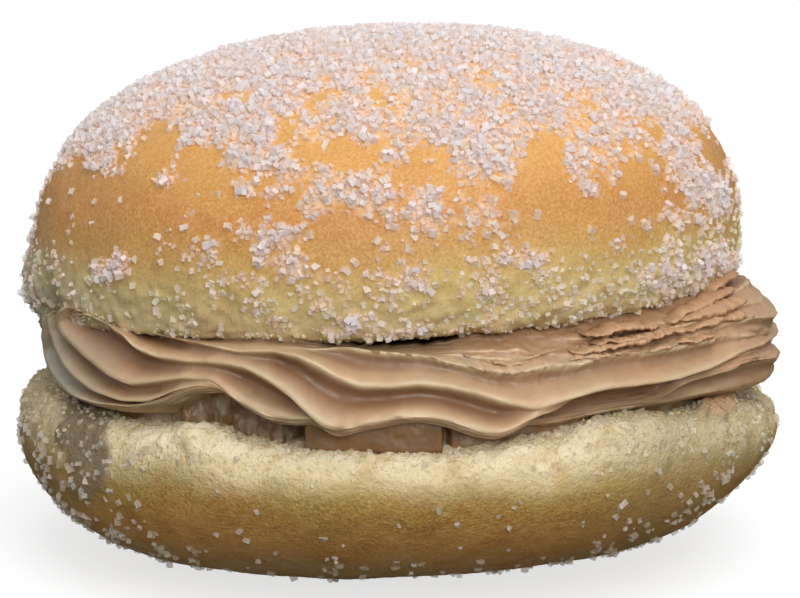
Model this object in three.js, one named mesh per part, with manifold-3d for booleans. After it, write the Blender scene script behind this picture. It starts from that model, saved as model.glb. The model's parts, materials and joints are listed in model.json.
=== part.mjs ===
// A sugared yeast doughnut, sliced in two and sandwiched with cream from a star nozzle.
// Millimetres, +Z up. The origin is under the middle of the doughnut, on the surface it rests on.
import * as THREE from "three";
import { ImprovedNoise } from "three/addons/math/ImprovedNoise.js";
import { mergeVertices } from "three/addons/utils/BufferGeometryUtils.js";
import Module from "manifold-3d";

const wasm = await Module();
wasm.setup();

// ---------------------------------------------------------------- sizes

const CLEARANCE = 0.3; // left between two pieces that touch
const ROUND_STEPS = 58; // steps round a half of the bun

// The lower half: a shallow bowl with a soft, rounded lip.
const BASE = { radius: 42.7, height: 18.6, belly: 13.2, lipRadius: 38.2, footRadius: 14, bowl: 1.9 };
// Round it, at angles in degrees, how far the lip is torn up above the cut face, and how far the
// bowl is pushed up from below.
const BASE_LIP = [
  [-180, 1.9], [-160, 1.2], [-141, 1.0], [-123, 1.4], [-112, 0.2], [-104, -0.3], [-93, 0.3], [-75, 0.6],
  [-66, 1.2], [-58, 2.3], [-38, 2.4], [-28, 1], [-14, -1], [16, -0.9], [50, 0], [120, 0], [180, 1.9],
];
const BASE_BOWL = [
  [-180, -0.3], [-162, -0.6], [-147, -1.1], [-132, -0.4], [-110, 0.4], [-90, 1], [-52, 1.1], [-42, 0.7],
  [-34, 0.9], [-20, 2.6], [20, 2.6], [60, 1.2], [120, 0], [180, -0.3],
];

// The upper half: a squarish dome that curls in to its cut edge.
const CROWN = { radius: 39.3, rise: 22.9, belly: 6.2, cutRadius: 37.6, hollow: 0.8, dome: 2.2 };
const CROWN_SHIFT = -1.5; // it slid a little to the left
const CROWN_TILT = THREE.MathUtils.degToRad(2.1); // and leans, with its right side up
const GAP = 10.5; // height of the cream, from cut face to cut face

// The star-nozzle rope that is laid round the rim.
const ROPE = { teeth: 7, toothDepth: 0.25, steps: 76 };
// The thin end of the rope, laid over it on the right and dragged into fine ridges.
const OVERLAP = { teeth: 15, toothDepth: 0.2, steps: 44, ring: 35.5, level: 26.8, thickness: 2, swell: 3 };
// The flat layer that was spread on the base before the rope.
const LAYER = { radius: 38, top: 23.8, foot: 12.6, edge: 1.2 };
const CORE = { radius: 35, foot: 14, top: 40 }; // the cream inside the ring of rope, before it is pressed
// Cracks where the spread layer pulled apart. Each has its angle and its width in mm.
const CRACKS = [[-83.5, 0.7], [-105, 1.6]];
const CRACK_SIZE = 9;
const PRESSED = { low: 19, high: 36 }; // no cream lies lower or higher than this

// Coarse crystals, in mm; apart is the least room between two of them where they lie thickest.
const SUGAR_ON_CROWN = { count: 184, smallest: 1.1, biggest: 1.7, sunk: 0.3, apart: 3.4 };
const SUGAR_ON_BASE = { count: 18, smallest: 1.0, biggest: 1.4, sunk: 0.3, apart: 5 };

// ---------------------------------------------------------------- helpers

const { degToRad, lerp, smoothstep } = THREE.MathUtils;
const noise = new ImprovedNoise();

// Smooth bumps of about one size, from -1 to 1.
const bumps = (p, size, seed) => noise.noise(p.x / size, p.y / size, p.z / size + seed);

// 1 at an angle round the bun, falling to 0 away from it. Angles and width are in degrees.
function near(angle, centre, width) {
  const apart = THREE.MathUtils.euclideanModulo(angle - centre + 180, 360) - 180;
  return Math.exp(-((apart / width) ** 2));
}

// The angle of a point round the bun, in degrees, with 0 on the right and -90 in front.
const angleOf = (p) => THREE.MathUtils.radToDeg(Math.atan2(p.y, p.x));

// Reads a table of [angle, value] pairs at an angle, easing from each pair to the next.
function along(table, angle) {
  const next = table.findIndex(([at]) => at >= angle);
  if (next < 1) return table[0][1];
  const [[from, a], [to, b]] = table.slice(next - 1, next + 1);
  return lerp(a, b, smoothstep(angle, from, to));
}

// A quarter of a squarish oval, from its widest point (share 0) to its pole (share 1).
function quarter(width, height, squareness, share) {
  const a = (share * Math.PI) / 2;
  return [width * Math.cos(a) ** (2 / squareness), height * Math.sin(a) ** (2 / squareness)];
}

// Joins the vertices of a geometry that share a place, and drops the triangles this closes up.
function weld(geometry) {
  const bare = new THREE.BufferGeometry();
  bare.setAttribute("position", geometry.getAttribute("position"));
  bare.setIndex(geometry.getIndex());
  const merged = mergeVertices(bare, 1e-3);
  const corners = merged.index.array;
  const kept = [];
  for (let i = 0; i < corners.length; i += 3) {
    const [a, b, c] = corners.slice(i, i + 3);
    if (a !== b && b !== c && c !== a) kept.push(a, b, c);
  }
  return merged.setIndex(kept);
}

// A closed geometry as a solid that can be joined and cut.
function toSolid(geometry) {
  const welded = weld(geometry);
  const vertProperties = welded.attributes.position.array;
  const triVerts = new Uint32Array(welded.index.array);
  return new wasm.Manifold(new wasm.Mesh({ numProp: 3, vertProperties, triVerts }));
}

// The largest body of a solid, without loose crumbs and closed bubbles.
const largest = (solid) => solid.decompose().sort((a, b) => b.volume() - a.volume())[0];

// And a solid back as a geometry.
function toGeometry(solid) {
  const mesh = solid.getMesh();
  const geometry = new THREE.BufferGeometry();
  geometry.setAttribute("position", new THREE.BufferAttribute(mesh.vertProperties, 3));
  geometry.setIndex(new THREE.BufferAttribute(mesh.triVerts, 1));
  geometry.computeVertexNormals();
  return geometry;
}

// Moves every vertex of a geometry by a rule that takes and changes a point.
function reshape(geometry, rule) {
  const position = geometry.getAttribute("position");
  const p = new THREE.Vector3();
  for (let i = 0; i < position.count; i++) {
    rule(p.fromBufferAttribute(position, i), i);
    position.setXYZ(i, p.x, p.y, p.z);
  }
  return geometry;
}

// Turns a profile of [radius, height] pairs, listed from bottom to top, about +Z.
function turned(profile, steps) {
  const points = profile.map(([r, z]) => new THREE.Vector2(r, z));
  return weld(new THREE.LatheGeometry(points, steps).rotateX(Math.PI / 2));
}

// ---------------------------------------------------------------- the crown

// The crown's side from the axis underneath, round the cut edge and the belly, to the top.
function crownProfile(edgeSteps, domeSteps) {
  const { radius, rise, belly, cutRadius, hollow, dome } = CROWN;
  const profile = [[0, hollow], [cutRadius * 0.55, hollow * 0.7], [cutRadius * 0.9, 0.1]];
  for (let i = 0; i < edgeSteps; i++) {
    const [out, drop] = quarter(radius - cutRadius, belly, 2, 1 - i / edgeSteps);
    profile.push([cutRadius + out, belly - drop]);
  }
  for (let i = 0; i <= domeSteps; i++) {
    const [r, z] = quarter(radius, rise, dome, i / domeSteps);
    profile.push([i < domeSteps ? r : 0, belly + z]);
  }
  return profile;
}

// Hand-shaped dough: a flared skirt on the left, shallow dents all over and an uneven cut edge.
function crownUnevenness(p) {
  const angle = angleOf(p);
  const low = 1 - smoothstep(p.z, 0, CROWN.belly * 1.3);
  const flare = 3 * near(angle, 180, 28) * low;
  const swell = 0.5 * bumps(p, 26, 3) + 0.3 * bumps(p, 9, 7);
  const ragged = 0.7 * bumps(p, 5, 11) * low;
  const r = Math.hypot(p.x, p.y) || 1;
  const push = (flare + swell + ragged) * smoothstep(r, 8, 30);
  p.x += (p.x / r) * push;
  p.y += (p.y / r) * push;
  p.x += 0.05 * Math.max(p.z - CROWN.belly, 0);
  p.z += (0.9 * near(angle, -40, 26) - 2.2 * near(angle, 180, 20)) * low * smoothstep(r, 20, 36);
  p.z += smoothstep(p.z, CROWN.belly, 20) * (0.6 * bumps(p, 17, 5) + 0.25 * bumps(p, 6, 9));
  return p;
}

// Leans the crown and sets it down on the cream.
function placeCrown(p) {
  p.applyAxisAngle(new THREE.Vector3(0, 1, 0), -CROWN_TILT);
  return p.add(new THREE.Vector3(CROWN_SHIFT, 0, BASE.height + GAP));
}

const crownBody = (grow = 0) =>
  reshape(turned(crownProfile(3, 12), ROUND_STEPS), (p) => {
    crownUnevenness(p);
    const r = Math.hypot(p.x, p.y) || 1;
    p.multiplyScalar(1 + grow / Math.max(r, 30));
    p.z -= grow;
    return placeCrown(p);
  });

// ---------------------------------------------------------------- the base

function baseProfile(bowlSteps, lipSteps) {
  const { radius, height, belly, lipRadius, footRadius, bowl } = BASE;
  const profile = [[0, 0], [footRadius, 0]];
  for (let i = 1; i < bowlSteps; i++) {
    const [out, drop] = quarter(radius - footRadius, belly, bowl, 1 - i / bowlSteps);
    profile.push([footRadius + out, belly - drop]);
  }
  for (let i = 0; i <= lipSteps; i++) {
    const [out, up] = quarter(radius - lipRadius, height - belly, 2.1, i / lipSteps);
    profile.push([lipRadius + out, belly + up]);
  }
  profile.push([lipRadius * 0.8, height - 0.4], [lipRadius * 0.4, height - 0.7], [0, height - 0.8]);
  return profile;
}

// The bowl is shallower on the right, where the dough proved less, and the cut tore its lip up.
function baseUnevenness(p) {
  const angle = angleOf(p);
  const r = Math.hypot(p.x, p.y) || 1;
  const offFoot = smoothstep(r, BASE.footRadius, BASE.footRadius + 12);
  p.z += along(BASE_BOWL, angle) * offFoot * (1 - smoothstep(p.z, 11, BASE.height + 2));
  p.z = Math.max(p.z, 0);
  const lip = smoothstep(p.z, BASE.belly * 0.7, BASE.height);
  const lean = 1.2 * lip * near(angle, 180, 26) - 0.9 * (1 - lip) * near(angle, 0, 32);
  const swell = 0.8 * bumps(p, 24, 21) + 0.3 * bumps(p, 8, 25);
  const push = (lean + swell + 0.6 * lip * bumps(p, 5, 29)) * offFoot;
  p.x += (p.x / r) * push;
  p.y += (p.y / r) * push;
  const lift = along(BASE_LIP, angle) * smoothstep(r, 31, BASE.lipRadius);
  p.z += smoothstep(p.z, BASE.belly, BASE.height) * (lift + 0.5 * bumps(p, 13, 33) + 0.3 * bumps(p, 5, 37));
  return p;
}

const baseBody = (grow = 0) =>
  reshape(turned(baseProfile(8, 4), ROUND_STEPS), (p) => {
    baseUnevenness(p);
    p.z += grow;
  });

// ---------------------------------------------------------------- the cream

// Where the hand slowed down, the rope folds: it sinks, thickens and bulges out.
// Each fold has its angle round the ring, its depth in mm and its width in degrees.
const FOLDS = [
  [-99, 1.3, 7], [-75, 1.5, 9], [24, 1.3, 9], [50, 1.0, 8], [77, 1.6, 9],
  [103, 1.2, 8], [131, 1.6, 9], [157, 0.9, 9],
];
function foldAt(angle) {
  return FOLDS.reduce((sum, [at, depth, width]) => sum + depth * near(angle, at, width), 0);
}

// How far the rope has rolled about itself, in degrees. Its start is on the left, where it turns fast.
// Round the whole ring it rolls by three teeth, so its ends meet.
const ROLLED = (3 * 360) / ROPE.teeth - 14;
const ROLL = [[-180, ROLLED], [-150, 74], [-122, 50], [-97, 0], [-40, -4], [180, -14]];
// The height of its middle above the foot, and its distance from the axis.
const LEVEL = [
  [-180, 24.4], [-150, 25], [-123, 26.4], [-99, 25.4], [-70, 25.2], [-20, 23.2], [14, 23.2], [40, 24.6],
  [180, 24.4],
];
const RING = [[-180, 36], [-150, 36.4], [-90, 37], [-10, 38.5], [60, 37], [180, 36]];
const THICKNESS = [
  [-180, 5.2], [-152, 5.2], [-124, 3.9], [-95, 4.4], [-55, 4.4], [-12, 4.4], [40, 4.2], [180, 5.2],
];

const ropePath = (angle) => ({
  r: along(RING, angle) + 0.6 * foldAt(angle),
  z: along(LEVEL, angle) - 0.8 * foldAt(angle),
  thickness: along(THICKNESS, angle) + 0.3 * foldAt(angle),
  roll: along(ROLL, angle),
});

const overlapPath = (angle) => {
  const share = near(angle, 0, 48);
  return {
    r: OVERLAP.ring + 0.5 * share,
    z: OVERLAP.level + 0.7 * share,
    thickness: OVERLAP.thickness + OVERLAP.swell * share,
    roll: 20 * share,
  };
};

// A rope from a star nozzle, laid in a ring: a torus whose section becomes a star of sharp teeth.
function pipedRing({ teeth, toothDepth, steps }, path) {
  const sides = teeth * 2;
  const ring = new THREE.TorusGeometry(1, 0.5, sides, steps);
  return reshape(ring, (p, index) => {
    const around = ((index % (steps + 1)) % steps) / steps;
    const side = Math.floor(index / (steps + 1)) % sides;
    const angle = around * 360 - 180;
    const { r, z, thickness, roll } = path(angle);
    const size = thickness * (side % 2 ? 1 - toothDepth : 1);
    const turn = degToRad((side / sides) * 360 + roll);
    const out = r + size * Math.cos(turn);
    p.set(out * Math.cos(degToRad(angle)), out * Math.sin(degToRad(angle)), z + size * Math.sin(turn));
  });
}

function creamLayer() {
  const { radius, top, foot, edge } = LAYER;
  const profile = [[0, foot], [radius, foot], [radius, top - edge], [radius - edge, top], [0, top]];
  return reshape(turned(profile, ROUND_STEPS), (p) => {
    const stretch = 1 + 0.035 * bumps(p, 14, 41);
    p.x *= stretch;
    p.y *= stretch;
  });
}

function crackCutters() {
  return CRACKS.map(([angle, width]) => {
    const crack = new THREE.BoxGeometry(CRACK_SIZE, width, CRACK_SIZE);
    return toSolid(crack.translate(LAYER.radius, 0, LAYER.top - 1.8).rotateZ(degToRad(angle)));
  });
}

// A wide round block from one height to another, to cut with.
function block(from, to) {
  const height = to - from;
  const geometry = new THREE.CylinderGeometry(70, 70, height, 8).rotateX(Math.PI / 2);
  return toSolid(geometry.translate(0, 0, from + height / 2));
}

function creamSolid() {
  const { radius, foot, top } = CORE;
  const core = turned([[0, foot], [radius, foot], [radius, top], [0, top]], ROUND_STEPS);
  let cream = toSolid(creamLayer());
  for (const crack of crackCutters()) cream = cream.subtract(crack);
  cream = cream.add(toSolid(core));
  cream = cream.add(toSolid(pipedRing(ROPE, ropePath)));
  cream = cream.add(toSolid(pipedRing(OVERLAP, overlapPath)));
  // The cut faces press it flat above and below.
  const press = [crownBody(CLEARANCE), baseBody(CLEARANCE)];
  for (const face of press) cream = cream.subtract(toSolid(face));
  cream = cream.subtract(block(PRESSED.high, 100)).subtract(block(-30, PRESSED.low));
  return largest(cream.simplify(0.05));
}

// ---------------------------------------------------------------- the sugar

// Coarse crystals fused to a half: boxes part sunk into it, each with room round it.
// roomAt says how many times wider that room is at a place.
function sugared(body, { count, smallest, biggest, sunk, apart }, surface, roomAt) {
  const { seededRandom } = THREE.MathUtils;
  const taken = [];
  let made = toSolid(body);
  for (let tries = 0; taken.length < count && tries < count * 40; tries++) {
    const { point, normal } = surface(seededRandom() * Math.PI * 2, seededRandom());
    const room = apart * roomAt(point);
    if (taken.some((other) => other.distanceTo(point) < room)) continue;
    taken.push(point);
    const size = lerp(biggest, smallest, taken.length / count);
    const crystal = new THREE.BoxGeometry(size, size * 0.8, size * 0.75);
    const turns = [seededRandom(), seededRandom(), seededRandom()].map((turn) => turn * Math.PI);
    crystal.applyMatrix4(new THREE.Matrix4().makeRotationFromEuler(new THREE.Euler(...turns)));
    const centre = point.clone().addScaledVector(normal, size * (0.5 - sunk));
    crystal.translate(centre.x, centre.y, centre.z);
    made = made.add(toSolid(crystal));
  }
  return largest(made);
}

// A point on a half's skin, and its outward direction, from an angle and a share of the way up.
function skin(profileAt, place) {
  const at = (angle, share) => {
    const [r, z] = profileAt(share);
    return place(new THREE.Vector3(r * Math.cos(angle), r * Math.sin(angle), z));
  };
  return (angle, share) => {
    const point = at(angle, share);
    const across = at(angle + 0.02, share).sub(point);
    const up = at(angle, Math.min(share + 0.01, 1)).sub(at(angle, Math.max(share - 0.01, 0)));
    return { point, normal: across.cross(up).normalize() };
  };
}

const crownSkin = skin(
  (share) => {
    const spread = 1 - Math.sqrt(1 - share * 0.98); // as many places for each patch of the dome
    const [r, z] = quarter(CROWN.radius, CROWN.rise, CROWN.dome, spread * 0.97);
    return [r, CROWN.belly + z];
  },
  (p) => placeCrown(crownUnevenness(p)),
);

const baseSkin = skin(
  (share) => {
    const { radius, footRadius, belly, bowl } = BASE;
    const [out, drop] = quarter(radius - footRadius, belly, bowl, 0.06 + 0.46 * share);
    return [footRadius + out, belly - drop];
  },
  (p) => baseUnevenness(p),
);

// Thick on top, thinner down the sides, in drifts with bare crust between them.
function crownRoom(p) {
  const height = p.z - BASE.height - GAP;
  return lerp(2.6, 1, smoothstep(height, 7, 21)) * (1 - 0.35 * bumps(p, 13, 51));
}

const baseRoom = () => 1;

// ---------------------------------------------------------------- the doughnut

const crust = (color) => new THREE.MeshStandardMaterial({ color, roughness: 0.7, metalness: 0 });

THREE.MathUtils.seededRandom(7);
const crownShape = toGeometry(sugared(crownBody(), SUGAR_ON_CROWN, crownSkin, crownRoom));
const crown = new THREE.Mesh(crownShape, crust(0xd9a066));
crown.name = "crown";

const baseShape = toGeometry(sugared(baseBody(), SUGAR_ON_BASE, baseSkin, baseRoom));
const base = new THREE.Mesh(baseShape, crust(0xc9ad78));
base.name = "base";

const creamLook = new THREE.MeshStandardMaterial({ color: 0xb48c6c, roughness: 0.45, metalness: 0 });
const cream = new THREE.Mesh(toGeometry(creamSolid()), creamLook);
cream.name = "cream_filling";

const doughnut = new THREE.Group();
doughnut.add(base, cream, crown);

// The origin goes under the middle of the whole.
const bounds = new THREE.Box3().setFromObject(doughnut);
const middle = bounds.getCenter(new THREE.Vector3());
doughnut.position.set(-middle.x, -middle.y, -bounds.min.z);

export default doughnut;
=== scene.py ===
# %% [markdown]
# # A sugared doughnut, sliced in two and filled with piped cream
# This lesson dresses three plain solids as food: a baked lower half, a ring of nut cream from a
# star nozzle, and a crown under coarse sugar. The solids come from a frame that is already the
# right size, so every piece here is shaped over them and stays inside their box.

# %% The frame
import json
import math

import bpy
import numpy as np
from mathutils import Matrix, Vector, noise
from mathutils.bvhtree import BVHTree

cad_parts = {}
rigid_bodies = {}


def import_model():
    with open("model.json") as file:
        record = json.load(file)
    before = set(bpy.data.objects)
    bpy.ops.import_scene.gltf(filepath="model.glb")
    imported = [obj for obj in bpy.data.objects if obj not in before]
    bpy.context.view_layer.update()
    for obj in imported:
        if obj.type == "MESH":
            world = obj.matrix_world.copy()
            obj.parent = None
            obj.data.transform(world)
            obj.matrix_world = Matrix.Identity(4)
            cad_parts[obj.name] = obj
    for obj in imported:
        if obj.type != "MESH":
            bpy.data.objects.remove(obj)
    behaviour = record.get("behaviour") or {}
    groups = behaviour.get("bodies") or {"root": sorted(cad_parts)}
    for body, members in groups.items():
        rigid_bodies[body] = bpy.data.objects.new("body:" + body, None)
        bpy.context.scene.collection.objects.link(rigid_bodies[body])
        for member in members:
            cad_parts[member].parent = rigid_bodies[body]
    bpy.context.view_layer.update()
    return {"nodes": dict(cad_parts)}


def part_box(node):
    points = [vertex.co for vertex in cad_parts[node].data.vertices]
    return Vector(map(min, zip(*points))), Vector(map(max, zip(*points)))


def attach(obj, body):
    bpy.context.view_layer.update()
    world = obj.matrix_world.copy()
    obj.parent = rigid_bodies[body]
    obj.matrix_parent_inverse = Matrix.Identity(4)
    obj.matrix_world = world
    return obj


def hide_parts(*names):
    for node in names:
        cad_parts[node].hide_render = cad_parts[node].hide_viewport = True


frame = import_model()
MM = 0.001
for name in sorted(frame["nodes"]):
    low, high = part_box(name)
    print(f"{name}: {low.z / MM:.1f} to {high.z / MM:.1f} mm above the table")

# %% [markdown]
# ## The camera
# A doughnut is best photographed from just above the table, so that the filling shows. The lens is
# long and stands about a third of a metre away, which keeps the sides of the bun from leaning.

# %% Camera
CAMERA_RISE = math.radians(8.5)
CAMERA_AWAY = 320  # mm
PICTURE_WIDTH = 91.1  # mm of the scene that the picture is wide, at the doughnut
AIM_HEIGHT = 27.56  # mm up the picture, from the table to its middle

sight = Vector((0, -math.cos(CAMERA_RISE), math.sin(CAMERA_RISE)))
upward = Vector((0, math.sin(CAMERA_RISE), math.cos(CAMERA_RISE)))
aim = upward * AIM_HEIGHT
eye = aim + sight * CAMERA_AWAY

bpy.ops.object.select_all(action="DESELECT")
bpy.ops.object.camera_add(location=eye * MM)
camera = bpy.context.object
camera.rotation_euler = (-sight).to_track_quat("-Z", "Y").to_euler()
camera.data.sensor_width = 36
camera.data.lens = 36 * CAMERA_AWAY / PICTURE_WIDTH
camera.data.clip_start = 0.01
bpy.context.scene.camera = camera
bpy.context.scene.view_settings.view_transform = "Standard"
print(f"lens {camera.data.lens:.0f} mm")

# %% [markdown]
# ## A drawing to work from
# Piped cream has no formula. A maker would hold a drawing in front of it and follow the lines. The
# drawing here is 800 points wide and 598 high, with 8.78 points to the millimetre, seen as the camera
# sees it. `drawn` lays a point of it on a drum of a given radius round the doughnut's axis, and
# `as_seen` does the reverse for points in space.

# %% The drawing
POINTS_PER_MM = 8.78
DRAWING_MIDDLE = (399.5, 299)


def drawn(across, down, radius):
    """Where a point of the drawing lands on a drum of that radius, in mm."""
    side = (across - DRAWING_MIDDLE[0]) / POINTS_PER_MM
    up = (DRAWING_MIDDLE[1] - down) / POINTS_PER_MM
    ray = aim + Vector((side, 0, 0)) + upward * up - eye
    # the ray meets the drum where a share**2 + b share + c is 0
    a = ray.x**2 + ray.y**2
    b = 2 * (eye.x * ray.x + eye.y * ray.y)
    c = eye.x**2 + eye.y**2 - radius**2
    share = (-b - math.sqrt(max(b * b - 4 * a * c, 0))) / (2 * a)
    return eye + ray * share


def as_seen(points):
    """Points in mm, an array of n rows, as n rows of (across, down) on the drawing."""
    from_aim = points - np.array(aim)
    depth = from_aim @ np.array(sight)
    scale = POINTS_PER_MM * CAMERA_AWAY / (CAMERA_AWAY - depth)
    across = DRAWING_MIDDLE[0] + points[:, 0] * scale
    down = DRAWING_MIDDLE[1] - (from_aim @ np.array(upward)) * scale
    return np.stack([across, down], 1)


print("the rim's middle lies at", [round(x, 1) for x in drawn(400, 420, 41)], "mm")

# %% [markdown]
# ## Floor
# The floor is one pale sheet. It glows a little, so that it stays as even as a backdrop of paper.

# %% Floor
def deselect():
    if bpy.context.object and bpy.context.object.mode != "OBJECT":
        bpy.ops.object.mode_set(mode="OBJECT")
    bpy.ops.object.select_all(action="DESELECT")


def colour(red, green, blue):
    """A colour as a screen shows it, 0 to 255, as the linear one that a shader takes."""
    parts = (np.array([red, green, blue]) / 255.0) ** 2.2
    return (*parts.tolist(), 1)


deselect()
bpy.ops.mesh.primitive_plane_add(size=4)
floor = bpy.context.object
floor.name = "floor"
sheet = bpy.data.materials.new("floor_sheet")
sheet.use_nodes = True
shader = sheet.node_tree.nodes["Principled BSDF"]
shader.inputs["Base Color"].default_value = (0.4, 0.4, 0.4, 1)
shader.inputs["Roughness"].default_value = 0.9
shader.inputs["Specular IOR Level"].default_value = 0.1
shader.inputs["Emission Color"].default_value = (1, 1, 1, 1)
shader.inputs["Emission Strength"].default_value = 0.7
floor.data.materials.append(sheet)
# A sheet this large would light the underside far more than a table does.
floor.visible_diffuse = floor.visible_glossy = False
print("floor:", floor.dimensions.x, "m across")

# %% [markdown]
# ## Light
# Food is lit by a large soft box overhead and a smaller one in front, with a pale room all round, so
# shadows stay soft and the sugar still has something bright to mirror. From below comes a little warm
# light, as off a table.

# %% Light
ROOM_ABOVE, ROOM_BELOW = 0.48, 0.13
room = bpy.data.worlds.new("room")
room.use_nodes = True
nodes, links = room.node_tree.nodes, room.node_tree.links
direction = nodes.new("ShaderNodeTexCoord")
parts = nodes.new("ShaderNodeSeparateXYZ")
glow = nodes.new("ShaderNodeMapRange")
glow.inputs["From Min"].default_value, glow.inputs["From Max"].default_value = -0.25, 0.35
shades = nodes.new("ShaderNodeMix")
shades.data_type = "RGBA"
below, above = shades.inputs[6], shades.inputs[7]
below.default_value = (ROOM_BELOW, ROOM_BELOW * 0.8, ROOM_BELOW * 0.5, 1)
above.default_value = (ROOM_ABOVE, ROOM_ABOVE, ROOM_ABOVE, 1)
links.new(direction.outputs["Generated"], parts.inputs[0])
links.new(parts.outputs["Z"], glow.inputs["Value"])
links.new(glow.outputs["Result"], shades.inputs[0])
links.new(shades.outputs[2], nodes["Background"].inputs["Color"])
bpy.context.scene.world = room


def lamp(name, kind, place, strength):
    """A white lamp that points at the middle of the doughnut, from a place in metres."""
    deselect()
    bpy.ops.object.light_add(type=kind, location=place)
    made = bpy.context.object
    made.name = name
    made.data.energy = strength
    middle = Vector((0, 0, 0.03))
    made.rotation_euler = (middle - made.location).to_track_quat("-Z", "Y").to_euler()
    return made


overhead = lamp("overhead_box", "SUN", (0.14, -0.3, 0.6), 1.25)
overhead.data.angle = math.radians(45)
front_box = lamp("front_box", "AREA", (0.1, -0.62, 0.27), 2.25)
front_box.data.size = 0.35

# %% [markdown]
# ## Tools for dough
# Dough is turned, like a pot: a ring of edges is drawn up and let out or in, step by step, from the
# middle of the underside to the top. The profile is that of the solid underneath.

# %% Turning a cage
SIDES = 160  # of a cage, all the way round


def only(piece):
    deselect()
    piece.select_set(True)
    bpy.context.view_layer.objects.active = piece


def apply_all(piece):
    only(piece)
    for modifier in list(piece.modifiers):
        bpy.ops.object.modifier_apply(modifier=modifier.name)


def turned(name, profile):
    """A closed cage from (radius, height) pairs in mm, first to last along the skin."""
    deselect()
    (radius, height), rest = profile[0], profile[1:]
    bpy.ops.mesh.primitive_circle_add(
        vertices=SIDES, radius=radius * MM, location=(0, 0, height * MM)
    )
    piece = bpy.context.object
    piece.name = name
    bpy.ops.object.transform_apply(location=True)
    bpy.ops.object.mode_set(mode="EDIT")
    bpy.ops.mesh.select_all(action="SELECT")
    for next_radius, next_height in rest:
        lift = (0, 0, (next_height - height) * MM)
        bpy.ops.mesh.extrude_region_move(TRANSFORM_OT_translate={"value": lift})
        share = next_radius / radius
        bpy.ops.transform.resize(
            value=(share, share, 1), center_override=(0, 0, next_height * MM)
        )
        radius, height = next_radius, next_height
    bpy.ops.mesh.merge(type="CENTER")
    bpy.ops.mesh.select_all(action="SELECT")
    bpy.ops.mesh.normals_make_consistent(inside=False)
    bpy.ops.object.mode_set(mode="OBJECT")
    print(f"{name}: cage of {len(piece.data.polygons)} faces")
    return piece


def close_first_ring(piece, height):
    """Draws the first ring, at a height in mm, together in its middle."""
    only(piece)
    ring = [
        (v.index, v.co.xy.length) for v in piece.data.vertices if abs(v.co.z - height * MM) < 1e-6
    ]
    radius = min(length for _, length in ring)
    bpy.ops.object.mode_set(mode="EDIT")
    bpy.ops.mesh.select_mode(type="VERT")
    bpy.ops.mesh.select_all(action="DESELECT")
    bpy.ops.object.mode_set(mode="OBJECT")
    for index, length in ring:
        piece.data.vertices[index].select = length < radius * 1.01
    bpy.ops.object.mode_set(mode="EDIT")
    bpy.ops.mesh.edge_face_add()
    bpy.ops.mesh.poke()
    bpy.ops.mesh.select_all(action="SELECT")
    bpy.ops.mesh.normals_make_consistent(inside=False)
    bpy.ops.object.mode_set(mode="OBJECT")


# %% [markdown]
# The cage is then wrapped on the solid, rubbed smooth and divided, which leaves soft dough without
# facets. Extruding leaves the faces in another order each run, and the sugar is strewn face by face,
# so they are sorted first and the sugar always falls in the same places.

# %% Wrapping a cage
def in_order(piece):
    """Sorts the faces of a piece by their vertices."""
    faces = []
    for face in piece.data.polygons:
        corners = list(face.vertices)
        first = corners.index(min(corners))
        faces.append(corners[first:] + corners[:first])
    places = [vertex.co[:] for vertex in piece.data.vertices]
    piece.data.clear_geometry()
    piece.data.from_pydata(places, [], sorted(faces))


def wrap_on(piece, node):
    """Wraps a cage on a CAD node and rubs it smooth."""
    in_order(piece)
    wrap = piece.modifiers.new("wrap", "SHRINKWRAP")
    wrap.target = frame["nodes"][node]
    wrap.wrap_method = "NEAREST_SURFACEPOINT"
    apply_all(piece)
    bpy.ops.object.mode_set(mode="EDIT")
    bpy.ops.mesh.select_all(action="SELECT")
    bpy.ops.mesh.vertices_smooth(factor=0.5, repeat=3)
    bpy.ops.object.mode_set(mode="OBJECT")


def divide(piece, levels):
    """Divides every face into smooth smaller ones."""
    subdivision = piece.modifiers.new("divide", "SUBSURF")
    subdivision.levels = subdivision.render_levels = levels
    apply_all(piece)
    bpy.ops.object.shade_smooth()


def oval(width, height, squareness, share):
    """A quarter of a squarish oval, from its widest point to its pole."""
    turn = share * math.pi / 2
    power = 2 / squareness
    return width * math.cos(turn) ** power, height * math.sin(turn) ** power


# %% [markdown]
# ## Hand work on dough
# `nudge` drags a spot and its surroundings, as a thumb does, with proportional editing. `paint`
# keeps a share from 0 to 1 for every vertex, for tools and finishes to read. `roughen` presses a
# cloudy pattern into the skin where a painted share allows it, and `thicken` raises such a part.

# %% Nudge and roughen
def coordinates(piece):
    """The vertices of a piece as an array, in mm."""
    flat = np.empty(len(piece.data.vertices) * 3)
    piece.data.vertices.foreach_get("co", flat)
    return flat.reshape(-1, 3) / MM


def nudge(piece, place, reach, move):
    """Drags the skin near a place. All in mm."""
    only(piece)
    spot = int(np.argmin(((coordinates(piece) - np.array(place)) ** 2).sum(1)))
    bpy.ops.object.mode_set(mode="EDIT")
    bpy.ops.mesh.select_mode(type="VERT")
    bpy.ops.mesh.select_all(action="DESELECT")
    bpy.ops.object.mode_set(mode="OBJECT")
    piece.data.vertices[spot].select = True
    bpy.ops.object.mode_set(mode="EDIT")
    bpy.ops.transform.translate(
        value=[x * MM for x in move],
        use_proportional_edit=True,
        proportional_edit_falloff="SMOOTH",
        proportional_size=reach * MM,
    )
    bpy.ops.object.mode_set(mode="OBJECT")


def paint(piece, name, shares):
    """Keeps a share for each vertex, as a vertex group for tools and an attribute for finishes."""
    shares = np.clip(shares, 0, 1)
    group = piece.vertex_groups.new(name=name)
    steps = np.round(shares * 50).astype(int)
    for step in range(1, 51):
        at = np.flatnonzero(steps == step)
        if len(at):
            group.add(at.tolist(), step / 50, "REPLACE")
    attribute = piece.data.attributes.new(name + "_share", "FLOAT", "POINT")
    attribute.data.foreach_set("value", shares.astype(np.float32))


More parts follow.
